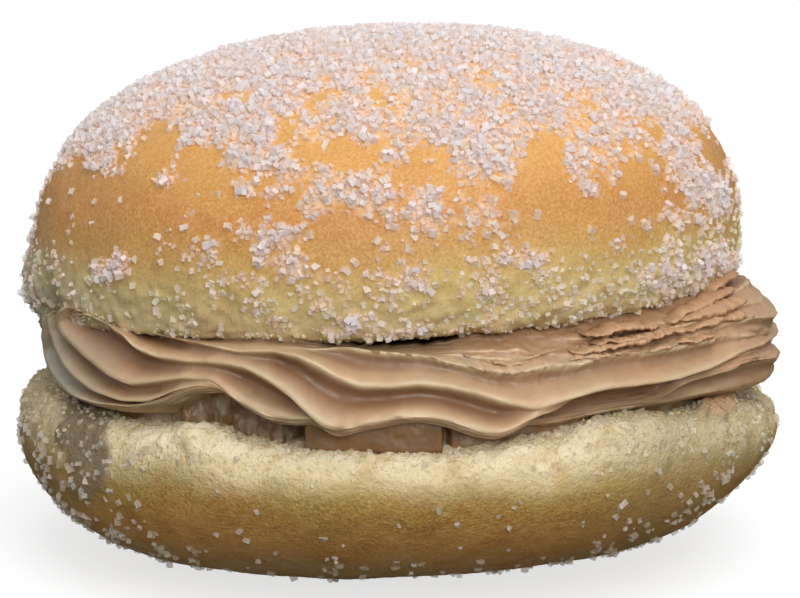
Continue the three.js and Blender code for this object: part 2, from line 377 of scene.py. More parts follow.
def roughen(piece, size, height, group="", depth=2):
    """Lumps of about one size, height mm from the lowest to the highest."""
    texture = bpy.data.textures.new(f"{piece.name}_{size}", "CLOUDS")
    texture.noise_scale = size * MM
    texture.noise_depth = depth
    press = piece.modifiers.new("press", "DISPLACE")
    press.texture = texture
    press.texture_coords = "LOCAL"
    press.strength = height * MM
    press.mid_level = 0.5
    press.vertex_group = group
    apply_all(piece)


def thicken(piece, height, group):
    """Raises a painted part evenly, as a film or blob that lies on the skin."""
    layer = piece.modifiers.new("film", "DISPLACE")
    layer.strength, layer.mid_level = height * MM, 0
    layer.vertex_group = group
    apply_all(piece)


def bumps(points, size, seed=0.0):
    """Smooth bumps of about one size in mm, from -1 to 1, at points in mm."""
    shift = Vector((seed * 7.3, seed * 3.1, seed * 5.7))
    return np.array([noise.noise(Vector(p) / size + shift) for p in points])


def rise(values, low, high):
    """0 below low, 1 above high, and an easy slope between."""
    share = np.clip((values - low) / (high - low), 0, 1)
    return share * share * (3 - 2 * share)


# %% [markdown]
# ## The crown
# The upper half of a yeast bun is a squarish dome. It slid a little to the left when it was put back
# on, and leans with its right side up, pressed by the cream. The cut edge curls in.

# %% Crown
CUT_FACE = 29.1  # mm above the table, where the crown's cut edge is
CROWN_LEAN = math.radians(2.1)
CROWN_SLID = (-1.32, -0.11)  # mm to the right and back, from the middle of the base
CROWN_RADIUS, DOME = 39.3, 22.9  # mm, at the widest ring, and from there to the top
CUT_RADIUS, CURL, BELLY = 37.6, 1.7, 6.2  # mm, the cut edge, and out and up to the widest ring

crown_profile = [
    (2, 0.8), (8, 0.8), (14, 0.7), (20, 0.6), (26, 0.4), (31, 0.2), (34.5, 0.1), (36.6, 0),
]
for step in range(6):
    out, drop = oval(CURL, BELLY, 2, 1 - step / 6)
    crown_profile.append((CUT_RADIUS + out, BELLY - drop))
for step in range(21):
    out, up = oval(CROWN_RADIUS, DOME, 2.2, step / 20.6)
    crown_profile.append((max(out, 1.2), BELLY + up))
crown = turned("crown_crust", crown_profile)
close_first_ring(crown, crown_profile[0][1])
crown.rotation_euler.y = -CROWN_LEAN
crown.location = (CROWN_SLID[0] * MM, CROWN_SLID[1] * MM, CUT_FACE * MM)
only(crown)
bpy.ops.object.transform_apply(location=True, rotation=True)
wrap_on(crown, "crown")
divide(crown, 2)
nudge(crown, drawn(46, 318, 41), 6, (0.6, 0, 1.8))  # the cream pushed the rim up at its start
print(f"crown: {len(crown.data.polygons)} faces")

# %% [markdown]
# ## The base
# The lower half is a shallow bowl. Its foot is small, so it looks as if it rolls up from the table,
# and its lip is torn crumb where the knife went through.

# %% Base
FOOT_RADIUS, BASE_RADIUS, LIP_RADIUS = 14, 42.7, 38.2  # mm
WIDEST, LIP_TOP = 13.2, 18.6  # mm above the table
FLAPS = [  # torn flaps of the lip: (across, down) on the drawing, reach and rise in mm
    (188, 424, 6, 1.2), (598, 418, 5, 0.6), (640, 414, 7, 1.1), (674, 410, 5, 0.8),
]

base_profile = [(2, 0), (6, 0), (10, 0), (13.4, 0)]
for step in range(1, 16):
    out, drop = oval(BASE_RADIUS - FOOT_RADIUS, WIDEST, 1.9, 1 - step / 16)
    base_profile.append((FOOT_RADIUS + out, WIDEST - drop))
for step in range(7):
    out, up = oval(BASE_RADIUS - LIP_RADIUS, LIP_TOP - WIDEST, 2.1, step / 6)
    base_profile.append((LIP_RADIUS + out, WIDEST + up))
base_profile += [(34, 18.3), (30, 18.2), (24, 18.1), (16, 18), (8, 17.9), (2, 17.8)]
base = turned("base_bun", base_profile)
close_first_ring(base, base_profile[0][1])
wrap_on(base, "base")
divide(base, 2)
for across, down, reach, up in FLAPS:
    nudge(base, drawn(across, down, 41), reach, (0, 0, up))
print(f"base: {len(base.data.polygons)} faces")

# %% [markdown]
# ## How the surfaces differ
# Baked skin is smooth with shallow dimples. The rim of the crown and the lip of the base were hidden
# from the heat or cut open, so they are pale, damp and rough. Each share is painted on the mesh once,
# and both the relief and the colours read it.

# %% Painting the crown
def crown_height(points):
    """mm above the crown's own cut face, which leans."""
    return points[:, 2] - CUT_FACE - points[:, 0] * math.tan(CROWN_LEAN)


points = coordinates(crown)
height = crown_height(points)
rim = 1 - rise(height + 1.2 * bumps(points, 9, 1), 3.5, 8.5)
paint(crown, "rim", rim)
turn_at = np.degrees(np.arctan2(points[:, 1], points[:, 0]))
left_side = np.exp(-(((np.abs(turn_at) - 180) / 38) ** 2))
# the left skirt is rough, and its grey-green tint is a painted reflection of cool light
paint(crown, "rough_skirt_cool_reflection", left_side * (1 - rise(height + 1.5 * bumps(points, 4, 12), 2, 10)))
roughen(crown, 11, 0.5)
roughen(crown, 2.4, 1.0, "rim", 3)
roughen(crown, 0.9, 0.45, "rim", 2)
roughen(crown, 2.6, 1.4, "rough_skirt_cool_reflection", 3)
roughen(crown, 0.9, 0.12)
print(f"rim on {100 * np.mean(rim > 0.5):.0f}% of the crown")

# %% [markdown]
# The base has a torn lip with a grainy edge, whose top also gets painted light. A smear of cream
# hangs under its left side, a dab under its right, and where the bun turns away at either side,
# painted shade darkens the dough.

# %% Painting the base
def patch(points, left, right, above, below, blur, rough):
    """A share that is 1 inside a box on the drawing, with a ragged edge, on the front only."""
    stray = np.stack([bumps(points, 2.5, 31), bumps(points, 2.5, 32)], 1)
    across, down = (as_seen(points) + rough * stray).T
    inside = np.minimum.reduce([across - left, right - across, down - above, below - down])
    return rise(inside, -blur, blur) * (points[:, 1] < 2)


points = coordinates(base)
lip = rise(points[:, 2] + 1.0 * bumps(points, 7, 2), 13, 17.5)
paint(base, "lip", lip)
smear = patch(points, 62, 112, 398, 470, 3, 14)
smear = np.maximum(smear, 0.8 * patch(points, 70, 108, 455, 492, 6, 16))
blob = patch(points, 700, 733, 380, 412, 4, 10)
blob = np.maximum(blob, patch(points, 708, 724, 405, 421, 3, 5))
paint(base, "smear", np.maximum(smear, blob))
paint(base, "blob", blob)
# painted shade on both sides, where the bun turns away from the light
across = points[:, 0] + 2 * bumps(points, 6, 19)
paint(base, "shaded", np.maximum(rise(across, 14, 30), rise(-across, 26, 40)))
roughen(base, 12, 0.5)
# the top of the lip gets a grainy relief, and is also painted lighter: painted light where the cream
# above would shade it
paint(base, "edge", rise(points[:, 2], 16.6, 18.2))
roughen(base, 3.0, 1.0, "lip", 3)
roughen(base, 0.7, 0.4, "lip", 2)
roughen(base, 1.4, 0.9, "edge", 3)
roughen(base, 1.0, 0.16)


thicken(base, 0.3, "smear")
thicken(base, 0.8, "blob")
print(f"lip on {100 * np.mean(lip > 0.5):.0f}% of the base")

# %% [markdown]
# ## The cream, crest by crest
# A star nozzle leaves a rope with sharp crests and hollow valleys. One closed tube has too few lines
# to follow the way the hand slowed and the rope folded, so the crests are drawn one by one. Each row
# below is a crest: (across, down, radius). Stations run along the rope from its start on the left and
# are places across the drawing. Where a crest turns back on itself, the station is written last. A
# loft then joins the rows, and sinks a valley between each two.

# %% The crests as drawn
CRESTS = {
    "faint": [
        [(205, 338, 37.2), (225, 336, 37.6), (260, 334, 38.1), (290, 339, 37.8)],
        [(585, 338, 38), (602, 335, 38), (640, 327, 38.2), (669, 321, 38.3), (691, 311, 38.3),
         (714, 299, 38.6), (737, 289, 39, 739), (748, 281, 39.4, 765)],
    ],
    "upper": [
        [(478, 351, 38.6), (504, 351, 38.8), (518, 349, 38.8), (536, 355, 38.8)],
        [(685, 325, 39.8), (706, 317, 40.2), (727, 310, 40.4), (745, 304, 40.8, 748),
         (760, 299, 41, 765)],
    ],
    "middle": [
        [(458, 354, 38.8), (466, 356, 39), (490, 358, 39.2), (525, 359, 39.2), (541, 353, 39.2)],
        [(706, 332, 40.4), (732, 322, 41), (754, 318, 42, 750), (776, 317, 42.9, 765)],
    ],
    "torn": [
        [(348, 347, 38.2), (373, 351, 38.8), (396, 353, 39.3), (427, 356, 39.6),
         (462, 365, 39.9), (483, 370, 40.1), (504, 372, 40.3), (521, 372, 40.3),
         (536, 367, 40.2), (553, 366, 40.2), (574, 365, 40.2), (595, 359, 40.2),
         (616, 355, 40.3), (640, 353, 40.4), (676, 347, 40.8), (700, 343, 41), (725, 337, 41.4),
         (747, 334, 41.8, 745), (769, 332, 42, 765)],
    ],
    "second": [
        [(136, 330, 38.2, 132), (154, 333, 39.2, 152), (183, 340, 40.2), (209, 345, 40.6),
         (239, 351, 40.8), (270, 351, 40.8), (296, 355, 40.9), (316, 364, 41), (336, 377, 41.2),
         (359, 386, 41.2), (390, 387, 41.2), (418, 384, 41.1), (448, 387, 41.1),
         (477, 394, 41.2), (507, 403, 41.4), (533, 409, 41.6), (553, 404, 41.7),
         (579, 396, 41.8), (612, 388, 41.9), (645, 385, 42), (681, 378, 42.1), (702, 371, 42.2),
         (719, 364, 42.3), (741, 351, 42.4, 739), (768, 340, 42.4, 765)],
    ],
    "first": [
        [(84, 314, 40.6, 0), (86, 315, 40.9, 30), (93, 317, 41, 60), (105, 323, 41, 85),
         (120, 333, 41, 110), (132, 346, 41), (153, 356, 41), (183, 361, 41), (219, 363, 41.1),
         (244, 368, 41.2), (265, 378, 41.4), (290, 397, 41.6), (308, 415, 41.7),
         (322, 427, 41.7), (334, 431, 41.7), (350, 428, 41.7), (373, 423, 41.6),
         (401, 417, 41.6), (427, 417, 41.6), (448, 421, 41.6), (469, 428, 41.7),
         (485, 433, 41.7), (499, 434, 41.7), (512, 430, 41.7), (526, 422, 41.6),
         (541, 414, 41.5)],
    ],
    "fold": [
        [(76, 311, 40.6, 0), (72, 308, 40.9, 15), (63, 307, 41.1, 30), (57, 312, 41.2, 45),
         (54, 322, 41.1, 60), (60, 333, 41, 75), (73, 347, 41, 90), (88, 361, 41.1, 105),
         (106, 375, 41.2, 120), (128, 384, 41.2, 138), (153, 382, 41.1), (183, 377, 41),
         (209, 379, 40.9), (224, 391, 40.9), (244, 405, 40.8), (265, 416, 40.8),
         (290, 420, 40.6), (312, 418, 40.4)],
    ],
    "third": [
        [(52, 311, 40.8, 0), (46, 315, 41, 30), (48, 332, 40.9, 60), (53, 344, 40.6, 75),
         (61, 360, 40.8, 90), (72, 376, 41, 105), (91, 391, 41.1, 120), (120, 401, 41.2, 138),
         (145, 402, 41.2, 153), (160, 397, 41.1, 165), (175, 390, 41, 178), (193, 386, 41)],
    ],
    "outer": [
        [(43, 314, 40.6, 0), (41.5, 322, 40.7, 30), (41.5, 338, 40.6, 60), (43, 352, 40.3, 75),
         (48, 368, 40.4, 90), (56, 382, 40.6, 105), (70, 394, 40.8, 120), (95, 403, 40.9, 138),
         (118, 405, 40.9, 153)],
    ],
    "lobe": [
        [(700, 378, 41.4), (727, 370, 42.2, 725), (753, 361, 42.9, 745), (779, 358, 43.3, 765)],
    ],
    "lower": [
        [(560, 420, 38.6), (600, 411, 38.4), (643, 404, 38.6), (676, 398, 39.2),
         (702, 392, 40.2), (736, 387, 41.2, 730), (768, 379, 42.2, 765)],
    ],
}
ROW_NAMES = list(CRESTS)
STATIONS = np.arange(0, 766, 2.0)
print(len(ROW_NAMES), "crests,", len(STATIONS), "stations along the front")

# %% [markdown]
# Behind, nobody drew the rope, so it is laid as the nozzle would: a round section with three crests
# on its outer side, and a fold wherever the hand paused. The numbers are the ring's radius, its
# height and its thickness at a few angles, with 0 on the right and 90 degrees at the back.

# %% The rope behind
BACK_ANGLES = np.linspace(14, 170, 250)
BACK_TEETH = {"torn": 42, "second": -9, "lower": -60}  # degrees up the section
BACK_FOLDS = [  # angle, depth in mm and width in degrees
    (24, 1.3, 9), (50, 1.0, 8), (77, 1.6, 9), (103, 1.2, 8), (131, 1.6, 9), (157, 0.9, 9),
]
folds = sum(depth * np.exp(-(((BACK_ANGLES - at) / width) ** 2)) for at, depth, width in BACK_FOLDS)
back_ring = np.interp(BACK_ANGLES, [0, 60, 180], [38.2, 37, 36]) + 0.6 * folds
back_level = np.interp(BACK_ANGLES, [0, 60, 180], [25.3, 25, 24.6]) - 0.8 * folds
back_thick = np.interp(BACK_ANGLES, [0, 40, 180], [3.9, 4.2, 5]) + 0.3 * folds
print(f"behind, the rope is {2 * back_thick.min():.1f} to {2 * back_thick.max():.1f} mm thick")

# %% [markdown]
# The loft needs every row at every station. Where a crest isn't drawn, its row is let go: it floats
# halfway between its neighbours, so the mesh stays even and the crest fades out instead of stopping.
# The top row is found by looking up at the crown, and two rows at the end tuck the rope in below.

# %% Looking up and down from the cream
MID_CREAM = 24.5  # mm above the table


def skin_of(piece):
    return BVHTree.FromPolygons(
        [v.co / MM for v in piece.data.vertices], [p.vertices[:] for p in piece.data.polygons]
    )


crown_skin, base_skin = skin_of(crown), skin_of(base)


def height_above(skin, angle, radius, default, upwards):
    """Height in mm where a line up or down from inside the cream meets a skin."""
    start = Vector((radius * math.cos(angle), radius * math.sin(angle), MID_CREAM))
    hit = skin.ray_cast(start, Vector((0, 0, 1 if upwards else -1)))
    return hit[0].z if hit[0] else default


print(f"{height_above(crown_skin, -math.pi / 2, 36, 29, True):.1f} mm up to the crown in front")

# %% Rows at every station
ROWS = ["top", *ROW_NAMES, "under", "foot"]
FADES = {"torn": 100.0}  # points over which a crest fades out past its ends
FADE = 40.0  # for the rest
columns = len(STATIONS) + len(BACK_ANGLES)
angles = np.zeros((len(ROWS), columns))
radii, heights, held = angles.copy(), angles.copy(), angles.copy()
front = slice(0, len(STATIONS))
back = slice(len(STATIONS), columns)
column_across = np.interp(STATIONS, [0, 60, 118, 765], [66, 80, 118, 768])
column_turn = np.array([math.atan2(*drawn(x, 360, 41.5).yx) for x in column_across])
column_turn = np.where(column_turn > 0, column_turn - 2 * math.pi, column_turn)
all_turn = np.concatenate([column_turn, np.radians(BACK_ANGLES)])

for name in ROW_NAMES:
    row = ROWS.index(name)
    fade = FADES.get(name, FADE)
    for trace in CRESTS[name]:
        at = np.array([t[3] if len(t) > 3 else t[0] for t in trace], float)
        spots = np.array([drawn(*t[:3]) for t in trace])
        turn = np.unwrap(np.arctan2(spots[:, 1], spots[:, 0]))
        turn = np.where(turn > 0, turn - 2 * math.pi, turn)
        beyond = np.maximum(np.maximum(at[0] - STATIONS, STATIONS - at[-1]), 0)
        near = beyond <= fade
        drift = column_turn - np.interp(np.clip(STATIONS, at[0], at[-1]), STATIONS, column_turn)
        angles[row, front][near] = (np.interp(STATIONS, at, turn) + drift)[near]
        radii[row, front][near] = np.interp(STATIONS, at, np.hypot(spots[:, 0], spots[:, 1]))[near]
        heights[row, front][near] = np.interp(STATIONS, at, spots[:, 2])[near]
        held[row, front] = np.maximum(held[row, front], 1 - rise(beyond, 0, fade))
for name, up in BACK_TEETH.items():
    row = ROWS.index(name)
    sway = np.radians(up + 5 * np.sin(np.radians(BACK_ANGLES * 3)))
    angles[row, back] = all_turn[back]
    radii[row, back] = back_ring + back_thick * np.cos(sway)
    heights[row, back] = back_level + back_thick * np.sin(sway)
    held[row, back] = 1
print(f"{100 * held.mean():.0f}% of the rows' length is held by a drawn crest")

# %% [markdown]
# The cream doesn't touch the crown everywhere: `LOW_TOP` says how far its top stays under the crown's
# underside, in mm, at a few stations. The rope's own underside starts at its lowest crest.

# %% Top and underside
LOW_TOP = [
    (0, 0.1), (180, 0.3), (200, 0.8), (215, 0.2), (330, 0.3), (400, 0.9), (450, 0.8), (480, 0.2),
    (765, 0.1),
]
TOP_RADIUS, FOOT_OF_ROPE = 36.2, 35.8  # mm, out of sight
low_top = np.interp(STATIONS, *np.transpose(LOW_TOP))
low_top = np.concatenate([low_top, np.full(len(BACK_ANGLES), 0.1)])


def eased(grid, passes):
    """Rounds the corners of drawn lines along the rope, which is a closed ring."""
    for _ in range(passes):
        grid = 0.5 * grid + 0.25 * (np.roll(grid, 1, -1) + np.roll(grid, -1, -1))
    return grid


crests = slice(1, len(ROW_NAMES) + 1)
lowest = np.argmin(np.where(held[crests] > 0.5, heights[crests], 99), 0) + 1
every = np.arange(columns)
low_radius, low_height, low_angle = (grid[lowest, every] for grid in (radii, heights, angles))
low_radius, low_height = eased(low_radius, 12), eased(low_height, 12)
behind = np.radians(3.5) * np.concatenate([1 - rise(STATIONS, 60, 130), np.zeros(len(BACK_ANGLES))])
top, under, foot = 0, len(ROWS) - 2, len(ROWS) - 1
angles[top] = angles[foot] = all_turn
angles[under] = low_angle - behind
radii[top], radii[under], radii[foot] = TOP_RADIUS, low_radius - 1.5, FOOT_OF_ROPE
heights[under] = low_height - 0.9
for column, turn in enumerate(all_turn):
    ceiling = height_above(crown_skin, turn, TOP_RADIUS, 29, True)
    heights[top, column] = ceiling - low_top[column]
    bed = height_above(base_skin, turn, 36, 19, False)
    heights[foot, column] = max(bed + 0.15, min(heights[under, column], 23))
held[top] = held[under] = held[foot] = 1
print(f"{columns} columns, top row {heights[top].min():.1f} to {heights[top].max():.1f} mm")

# %% [markdown]
# Rows that were let go are settled by averaging with their neighbours many times over, the way a
# stretched net finds its rest. Working in angle, radius and height keeps them on the round. Then a few
# columns are added at either side, to join the front and the back.

# %% Letting the loose rows settle
grids = (angles, radii, heights)
as_drawn = [grid.copy() for grid in grids]
for _ in range(400):
    for grid, start in zip(grids, as_drawn):
        between = (grid[:-2] + grid[2:]) / 2
        grid[1:-1] = held[1:-1] * start[1:-1] + (1 - held[1:-1]) * between

JOIN = 18  # columns added at either side


def joined(grid, around):
    """Adds columns between front and back at the right, and between back and front at the left."""
    ease = rise(np.linspace(0, 1, JOIN + 2)[1:-1], 0, 1)
    first, last = grid[:, :1], grid[:, len(STATIONS) - 1 : len(STATIONS)]
    back_first = grid[:, len(STATIONS) : len(STATIONS) + 1]
    back_last = grid[:, -1:]
    right = last + (back_first - last) * ease
    left = back_last + (first + around - back_last) * ease
    return np.concatenate([grid[:, front], right, grid[:, back], left], 1)


turns = joined(angles, 2 * math.pi)
radii, heights, held = (joined(grid, 0) for grid in (radii, heights, held))
crest_points = [radii * np.cos(turns), radii * np.sin(turns), heights]
crest_points = np.stack([eased(grid, 3) for grid in crest_points], 2)
print("the ring has", turns.shape[1], "columns")

# %% [markdown]
# Between two crests the nozzle leaves a valley. It drops in sharply under the upper crest, where it
# lies in its own shadow, and comes out slowly to the lower one, which catches the light. A valley may
# span rows that were let go, so each pair of rows adds its share, by how firmly both are held and how
# loose all between them are. Round the right end, where the rope was drawn thin, they are shallower.

# %% Sinking the valleys
VALLEYS = {  # mm deep, below each crest
    "top": 0.3, "faint": 0.8, "upper": 0.9, "middle": 1.0, "torn": 1.4, "second": 2.3,
    "first": 2.1, "fold": 2.0, "third": 1.5, "outer": 0.6, "lobe": 1.2, "lower": 0.2, "under": 0,
}
STEPS = 9  # rows of mesh from row to row
SKEW = 0.8  # under 1, a valley is deepest near its upper crest
BELLY_OUT = 0.12  # how far the rope bulges below its lowest crest, of the height there

outward = np.stack([np.cos(turns), np.sin(turns), np.zeros_like(turns)], 2)
last_row = len(ROWS) - 1
fine = np.arange(0, last_row * STEPS + 1) / STEPS  # row numbers at each row of mesh
rope_grid = np.empty((len(fine), turns.shape[1], 3))
for number, place in enumerate(fine):
    row = min(int(place), last_row - 1)
    share = place - row
    rope_grid[number] = crest_points[row] * (1 - share) + crest_points[row + 1] * share
sunk = np.zeros((len(fine), turns.shape[1]))
for upper in range(under):
    loose = np.ones(turns.shape[1])
    for lower in range(upper + 1, under + 1):
        weight = held[upper] * held[lower] * loose
        length = np.linalg.norm(crest_points[upper] - crest_points[lower], axis=1)
        depth = VALLEYS[ROWS[upper]] * rise(length, 0.3, 3.6)
        if lower == under:
            depth = -BELLY_OUT * length
        inside = (fine >= upper) & (fine <= lower)
        share = (fine[inside] - upper) / (lower - upper)
        hollow = np.sin(math.pi * share**SKEW) ** 2
        sunk[inside] += hollow[:, None] * (weight * depth)[None, :]
        loose = loose * (1 - held[lower])
past_end = np.arange(turns.shape[1]) - len(STATIONS)  # columns beyond the right end of the front
sunk *= 1 - 0.55 * rise(past_end, -24, -6) * (1 - rise(past_end, 2, 14))
outward = outward[np.minimum(fine.astype(int), last_row), :, :2]
rope_grid[:, :, :2] -= sunk[:, :, None] * outward
print(f"valleys down to {sunk.max():.1f} mm deep")

# %% [markdown]
# Cream drags a little at the nozzle, so the crests waver, and fine streaks run along the rope. Both
# are noise in the rope's own directions: how far along it, and how far round its section.

# %% Streaks
BACK_STEP = 0.44  # mm from column to column, out of sight
beyond_front = turns.shape[1] - len(STATIONS)
along_rope = np.concatenate([STATIONS / POINTS_PER_MM, 88 + np.arange(beyond_front) * BACK_STEP])


def streaks(length, width, seed):
    """Noise that is stretched along the rope, from -1 to 1, for each vertex of the rope."""
    return np.array([
        [noise.noise(Vector((x / length, place / width, seed))) for x in along_rope] for place in fine
    ])


seam = rise(np.minimum(along_rope, along_rope[-1] - along_rope), 0, 2)  # none where the ring closes
waver = (0.22 * streaks(2.2, 0.6, 3.3) + 0.09 * streaks(3.0, 0.12, 8.8)) * seam
crumbly = np.exp(-(((fine[:, None] - ROWS.index("torn")) / 0.35) ** 2))
torn_part = np.concatenate([rise(STATIONS, 350, 390), np.zeros(beyond_front)])
waver = waver + crumbly * torn_part[None, :] * 0.4 * streaks(0.45, 0.25, 5.5)
rope_grid[:, :, :2] += waver[:, :, None] * outward
print(f"the crests waver by {np.abs(waver).max():.2f} mm at most")

# %% [markdown]
# A few plain rows on the inside, hidden between the halves, close the rope's section. The rows then
# become a mesh of four-sided faces. It is told how deep each valley is and where the crests are, so
# that the finish can paint shade into the one and a highlight onto the other.

# %% From rows to a mesh
INNER = [0.9, 0.9, 1]  # how far in the hidden side lies, of the radius
foot_row, top_row = rope_grid[-1] * INNER, rope_grid[0] * INNER
inner_rows = [foot_row * (1 - share) + top_row * share for share in (0, 0.33, 0.66, 1)]
rope_grid = np.concatenate([rope_grid, np.array(inner_rows)])


def loft(name, grid, ends=False):
    """A mesh from rows of points in mm. The rows close on themselves, and so do the columns,
    unless it has ends, which then get a face each."""
    rows, around, _ = grid.shape
    spots = (grid.reshape(-1, 3) * MM).tolist()
    faces = []
    for i in range(rows):
        for j in range(around - 1 if ends else around):
            k, n = (i + 1) % rows, (j + 1) % around
            faces.append((i * around + j, i * around + n, k * around + n, k * around + j))
    if ends:
        faces.append([i * around for i in range(rows)])
        faces.append([i * around + around - 1 for i in reversed(range(rows))])
    mesh = bpy.data.meshes.new(name)
    mesh.from_pydata(spots, [], faces)
    piece = bpy.data.objects.new(name, mesh)
    bpy.context.scene.collection.objects.link(piece)
    only(piece)
    bpy.ops.object.mode_set(mode="EDIT")
    bpy.ops.mesh.select_all(action="SELECT")
    bpy.ops.mesh.normals_make_consistent(inside=False)
    bpy.ops.object.mode_set(mode="OBJECT")
    return piece


rope = loft("cream_rope", rope_grid)
hollows = np.concatenate([sunk / 2.0, np.zeros((len(inner_rows), sunk.shape[1]))])
paint(rope, "valley_tone_and_shade", hollows.ravel())
ridge = np.zeros(rope_grid.shape[:2])
for row in range(1, under):
    near = np.exp(-(((fine - row - 0.04) / 0.13) ** 2))
    ridge[: len(fine)] = np.maximum(ridge[: len(fine)], near[:, None] * held[row][None, :])
paint(rope, "crest", ridge.ravel())
print(f"rope: {len(rope.data.polygons)} faces")

# %% [markdown]
# ## Torn frills
# On the right the thin end of the rope was dragged over the first turn. It tore into short ledges,
# bright above and dark beneath. Each is a thin wedge along a drawn line, with a ragged edge.

# %% Frills
FRILLS = [  # the drawn edge, then how far it stands out and how thick it is, in mm
    ([(589, 338, 39.6), (602, 336, 39.9), (619, 331, 40.2), (640, 329, 40.4),
      (669, 327, 40.6)], 1.7, 0.6),
    ([(575, 355, 40.2), (600, 351, 40.6), (630, 345, 41), (655, 338, 41.2), (676, 333, 41.3),
      (706, 330, 41.5)], 1.6, 0.55),
    ([(649, 353, 41), (665, 349, 41.3), (683, 345, 41.4)], 1.2, 0.5),
    ([(600, 345, 40.3), (622, 342, 40.6), (648, 338, 40.8), (668, 333, 40.9)], 1.0, 0.4),
    ([(560, 362, 40.1), (584, 359, 40.3), (606, 356, 40.5), (634, 351, 40.8)], 0.8, 0.4),
    ([(681, 344, 41.4), (700, 341, 41.6), (721, 336, 41.8)], 1.2, 0.5),
    ([(700, 328, 41), (715, 324, 41.4), (731, 318, 41.8)], 1.1, 0.7),
    ([(677, 325, 40), (690, 315, 39.8), (712, 303, 39.6), (726, 296, 39.6),
      (742, 289, 39.8)], 1.2, 0.7),
    ([(694, 322, 40.8), (727, 311, 41.2), (745, 304, 41.2), (763, 299, 41.2)], 1.6, 0.9),
    ([(729, 321, 41.6), (750, 317, 42), (776, 317, 42.5)], 1.4, 0.9),
    ([(716, 293, 38.6), (730, 281, 38.8), (745, 273, 39)], 1.0, 0.7),
    ([(462, 356, 39.3), (484, 362, 39.6), (512, 366, 39.9), (530, 364, 39.9),
      (542, 356, 39.8)], 0.9, 0.5),
    ([(452, 363, 40), (466, 366, 40.2), (483, 371, 40.4), (508, 374, 40.5), (528, 371, 40.4),
      (552, 366, 40.3)], 0.7, 0.5),
]


def frill(index, line, reach, thickness):
    """A wedge whose sharp edge follows a drawn line, with its root inside the rope."""
    at = np.array([p[0] for p in line], float)
    steps = max(int((at[-1] - at[0]) / 1.6), 8)
    across = np.linspace(at[0], at[-1], steps)
    down = np.interp(across, at, [p[1] for p in line])
    radius = np.interp(across, at, [p[2] for p in line])
    edge = np.array([drawn(*p) for p in zip(across, down, radius)])
    taper = np.sin(np.linspace(0.12, math.pi - 0.12, steps)) ** 0.5
    ragged = 0.42 * bumps(edge, 1.6, index) + 0.22 * bumps(edge, 0.6, index + 9)
    away = np.stack([edge[:, 0], edge[:, 1], np.zeros(steps)], 1)
    away /= np.linalg.norm(away, axis=1)[:, None]
    up = np.array([0, 0, 1.0])
    out = (taper - 1) * reach * 0.8 + ragged * taper
    tip = edge + away * out[:, None] + up * (0.25 * bumps(edge, 1.1, index + 4))[:, None]
    half = (thickness * taper / 2)[:, None]
    root = tip - away * (reach + 1.2)
    rows = [
        root + up * half * 1.9, tip - away * 0.35 + up * half, tip,
        tip - away * 0.3 - up * half, root - up * half * 1.5,
    ]
    return loft(f"frill_{index}", np.array(rows), ends=True)


frills = [frill(i, *f) for i, f in enumerate(FRILLS)]
print(len(frills), "frills")

# %% [markdown]
# ## One body of cream
# Frills are divided once so that they can take a grain, then rope and frills become one piece. The
# share called peach marks the frills, since freshly torn cream is warmer in colour.

# %% Joining the cream
only(frills[0])
for piece in frills:
    piece.select_set(True)
bpy.ops.object.join()
ledges = bpy.context.object
divide(ledges, 1)
roughen(ledges, 1.0, 0.4)
roughen(ledges, 0.4, 0.45)
paint(ledges, "peach", 0.2 + 0.8 * rise(as_seen(coordinates(ledges))[:, 0], 540, 610))
only(rope)
ledges.select_set(True)
bpy.ops.object.join()
cream = bpy.context.object
cream.name = "cream_piped"
bpy.ops.object.shade_smooth()
print(f"cream: {sum(len(p.vertices) - 2 for p in cream.data.polygons)} triangles")

# %% [markdown]
# Three more shares are painted. The left end gets a cool greyish tint, a painted reflection of cool
# light. Cream that lies far in under the crown or over the base gets painted shade. On the right, the
# crown tore the top down to a drawn line. The torn parts are crumbly, and the rest has shallow dimples.

# %% Painting the cream
points = coordinates(cream)
across, down = as_seen(points).T
# painted reflection: a cool greyish tint that grows toward the left end
cool_fade = across + 0.5 * (330 - down) + 12 * bumps(points, 6, 17)
paint(cream, "cool_reflection", (1 - rise(cool_fade, 15, 85)) * (points[:, 1] < 12))
# painted shade: cream far in under the crown or low over the base is darkened
radius = np.hypot(points[:, 0], points[:, 1]) + 0.5 * bumps(points, 3, 18)
over_base = 0.5 * (1 - rise(radius, 39.4, 40.8))
under_crown = 1.2 * (1 - rise(radius, 38.3, 39.8))
paint(cream, "recess_shade", np.where(points[:, 2] < 24, over_base, under_crown))
below_line = down - np.interp(across, [440, 540, 620, 720], [360, 360, 345, 338])
tearing = rise(across, 430, 500) * (1 - rise(below_line, -6, 8)) * (points[:, 1] < 5)
tearing = np.maximum(tearing, 0.9 * rise(across, 722, 752) * (points[:, 1] < 8))
paint(cream, "torn", 0.05 + tearing)  # a trace of it everywhere
roughen(cream, 0.9, 0.35, "torn", 2)
roughen(cream, 0.5, 0.25, "torn")
roughen(cream, 3.0, 0.2)
print(f"torn on {100 * np.mean(tearing > 0.5):.0f}% of the cream")

# %% [markdown]
# ## The layer under the rope
# Before the rope was piped, cream was spread flat on the base. It shows in front as a low block that
# cracked, and on the left as a dark hollow where it pulled away.

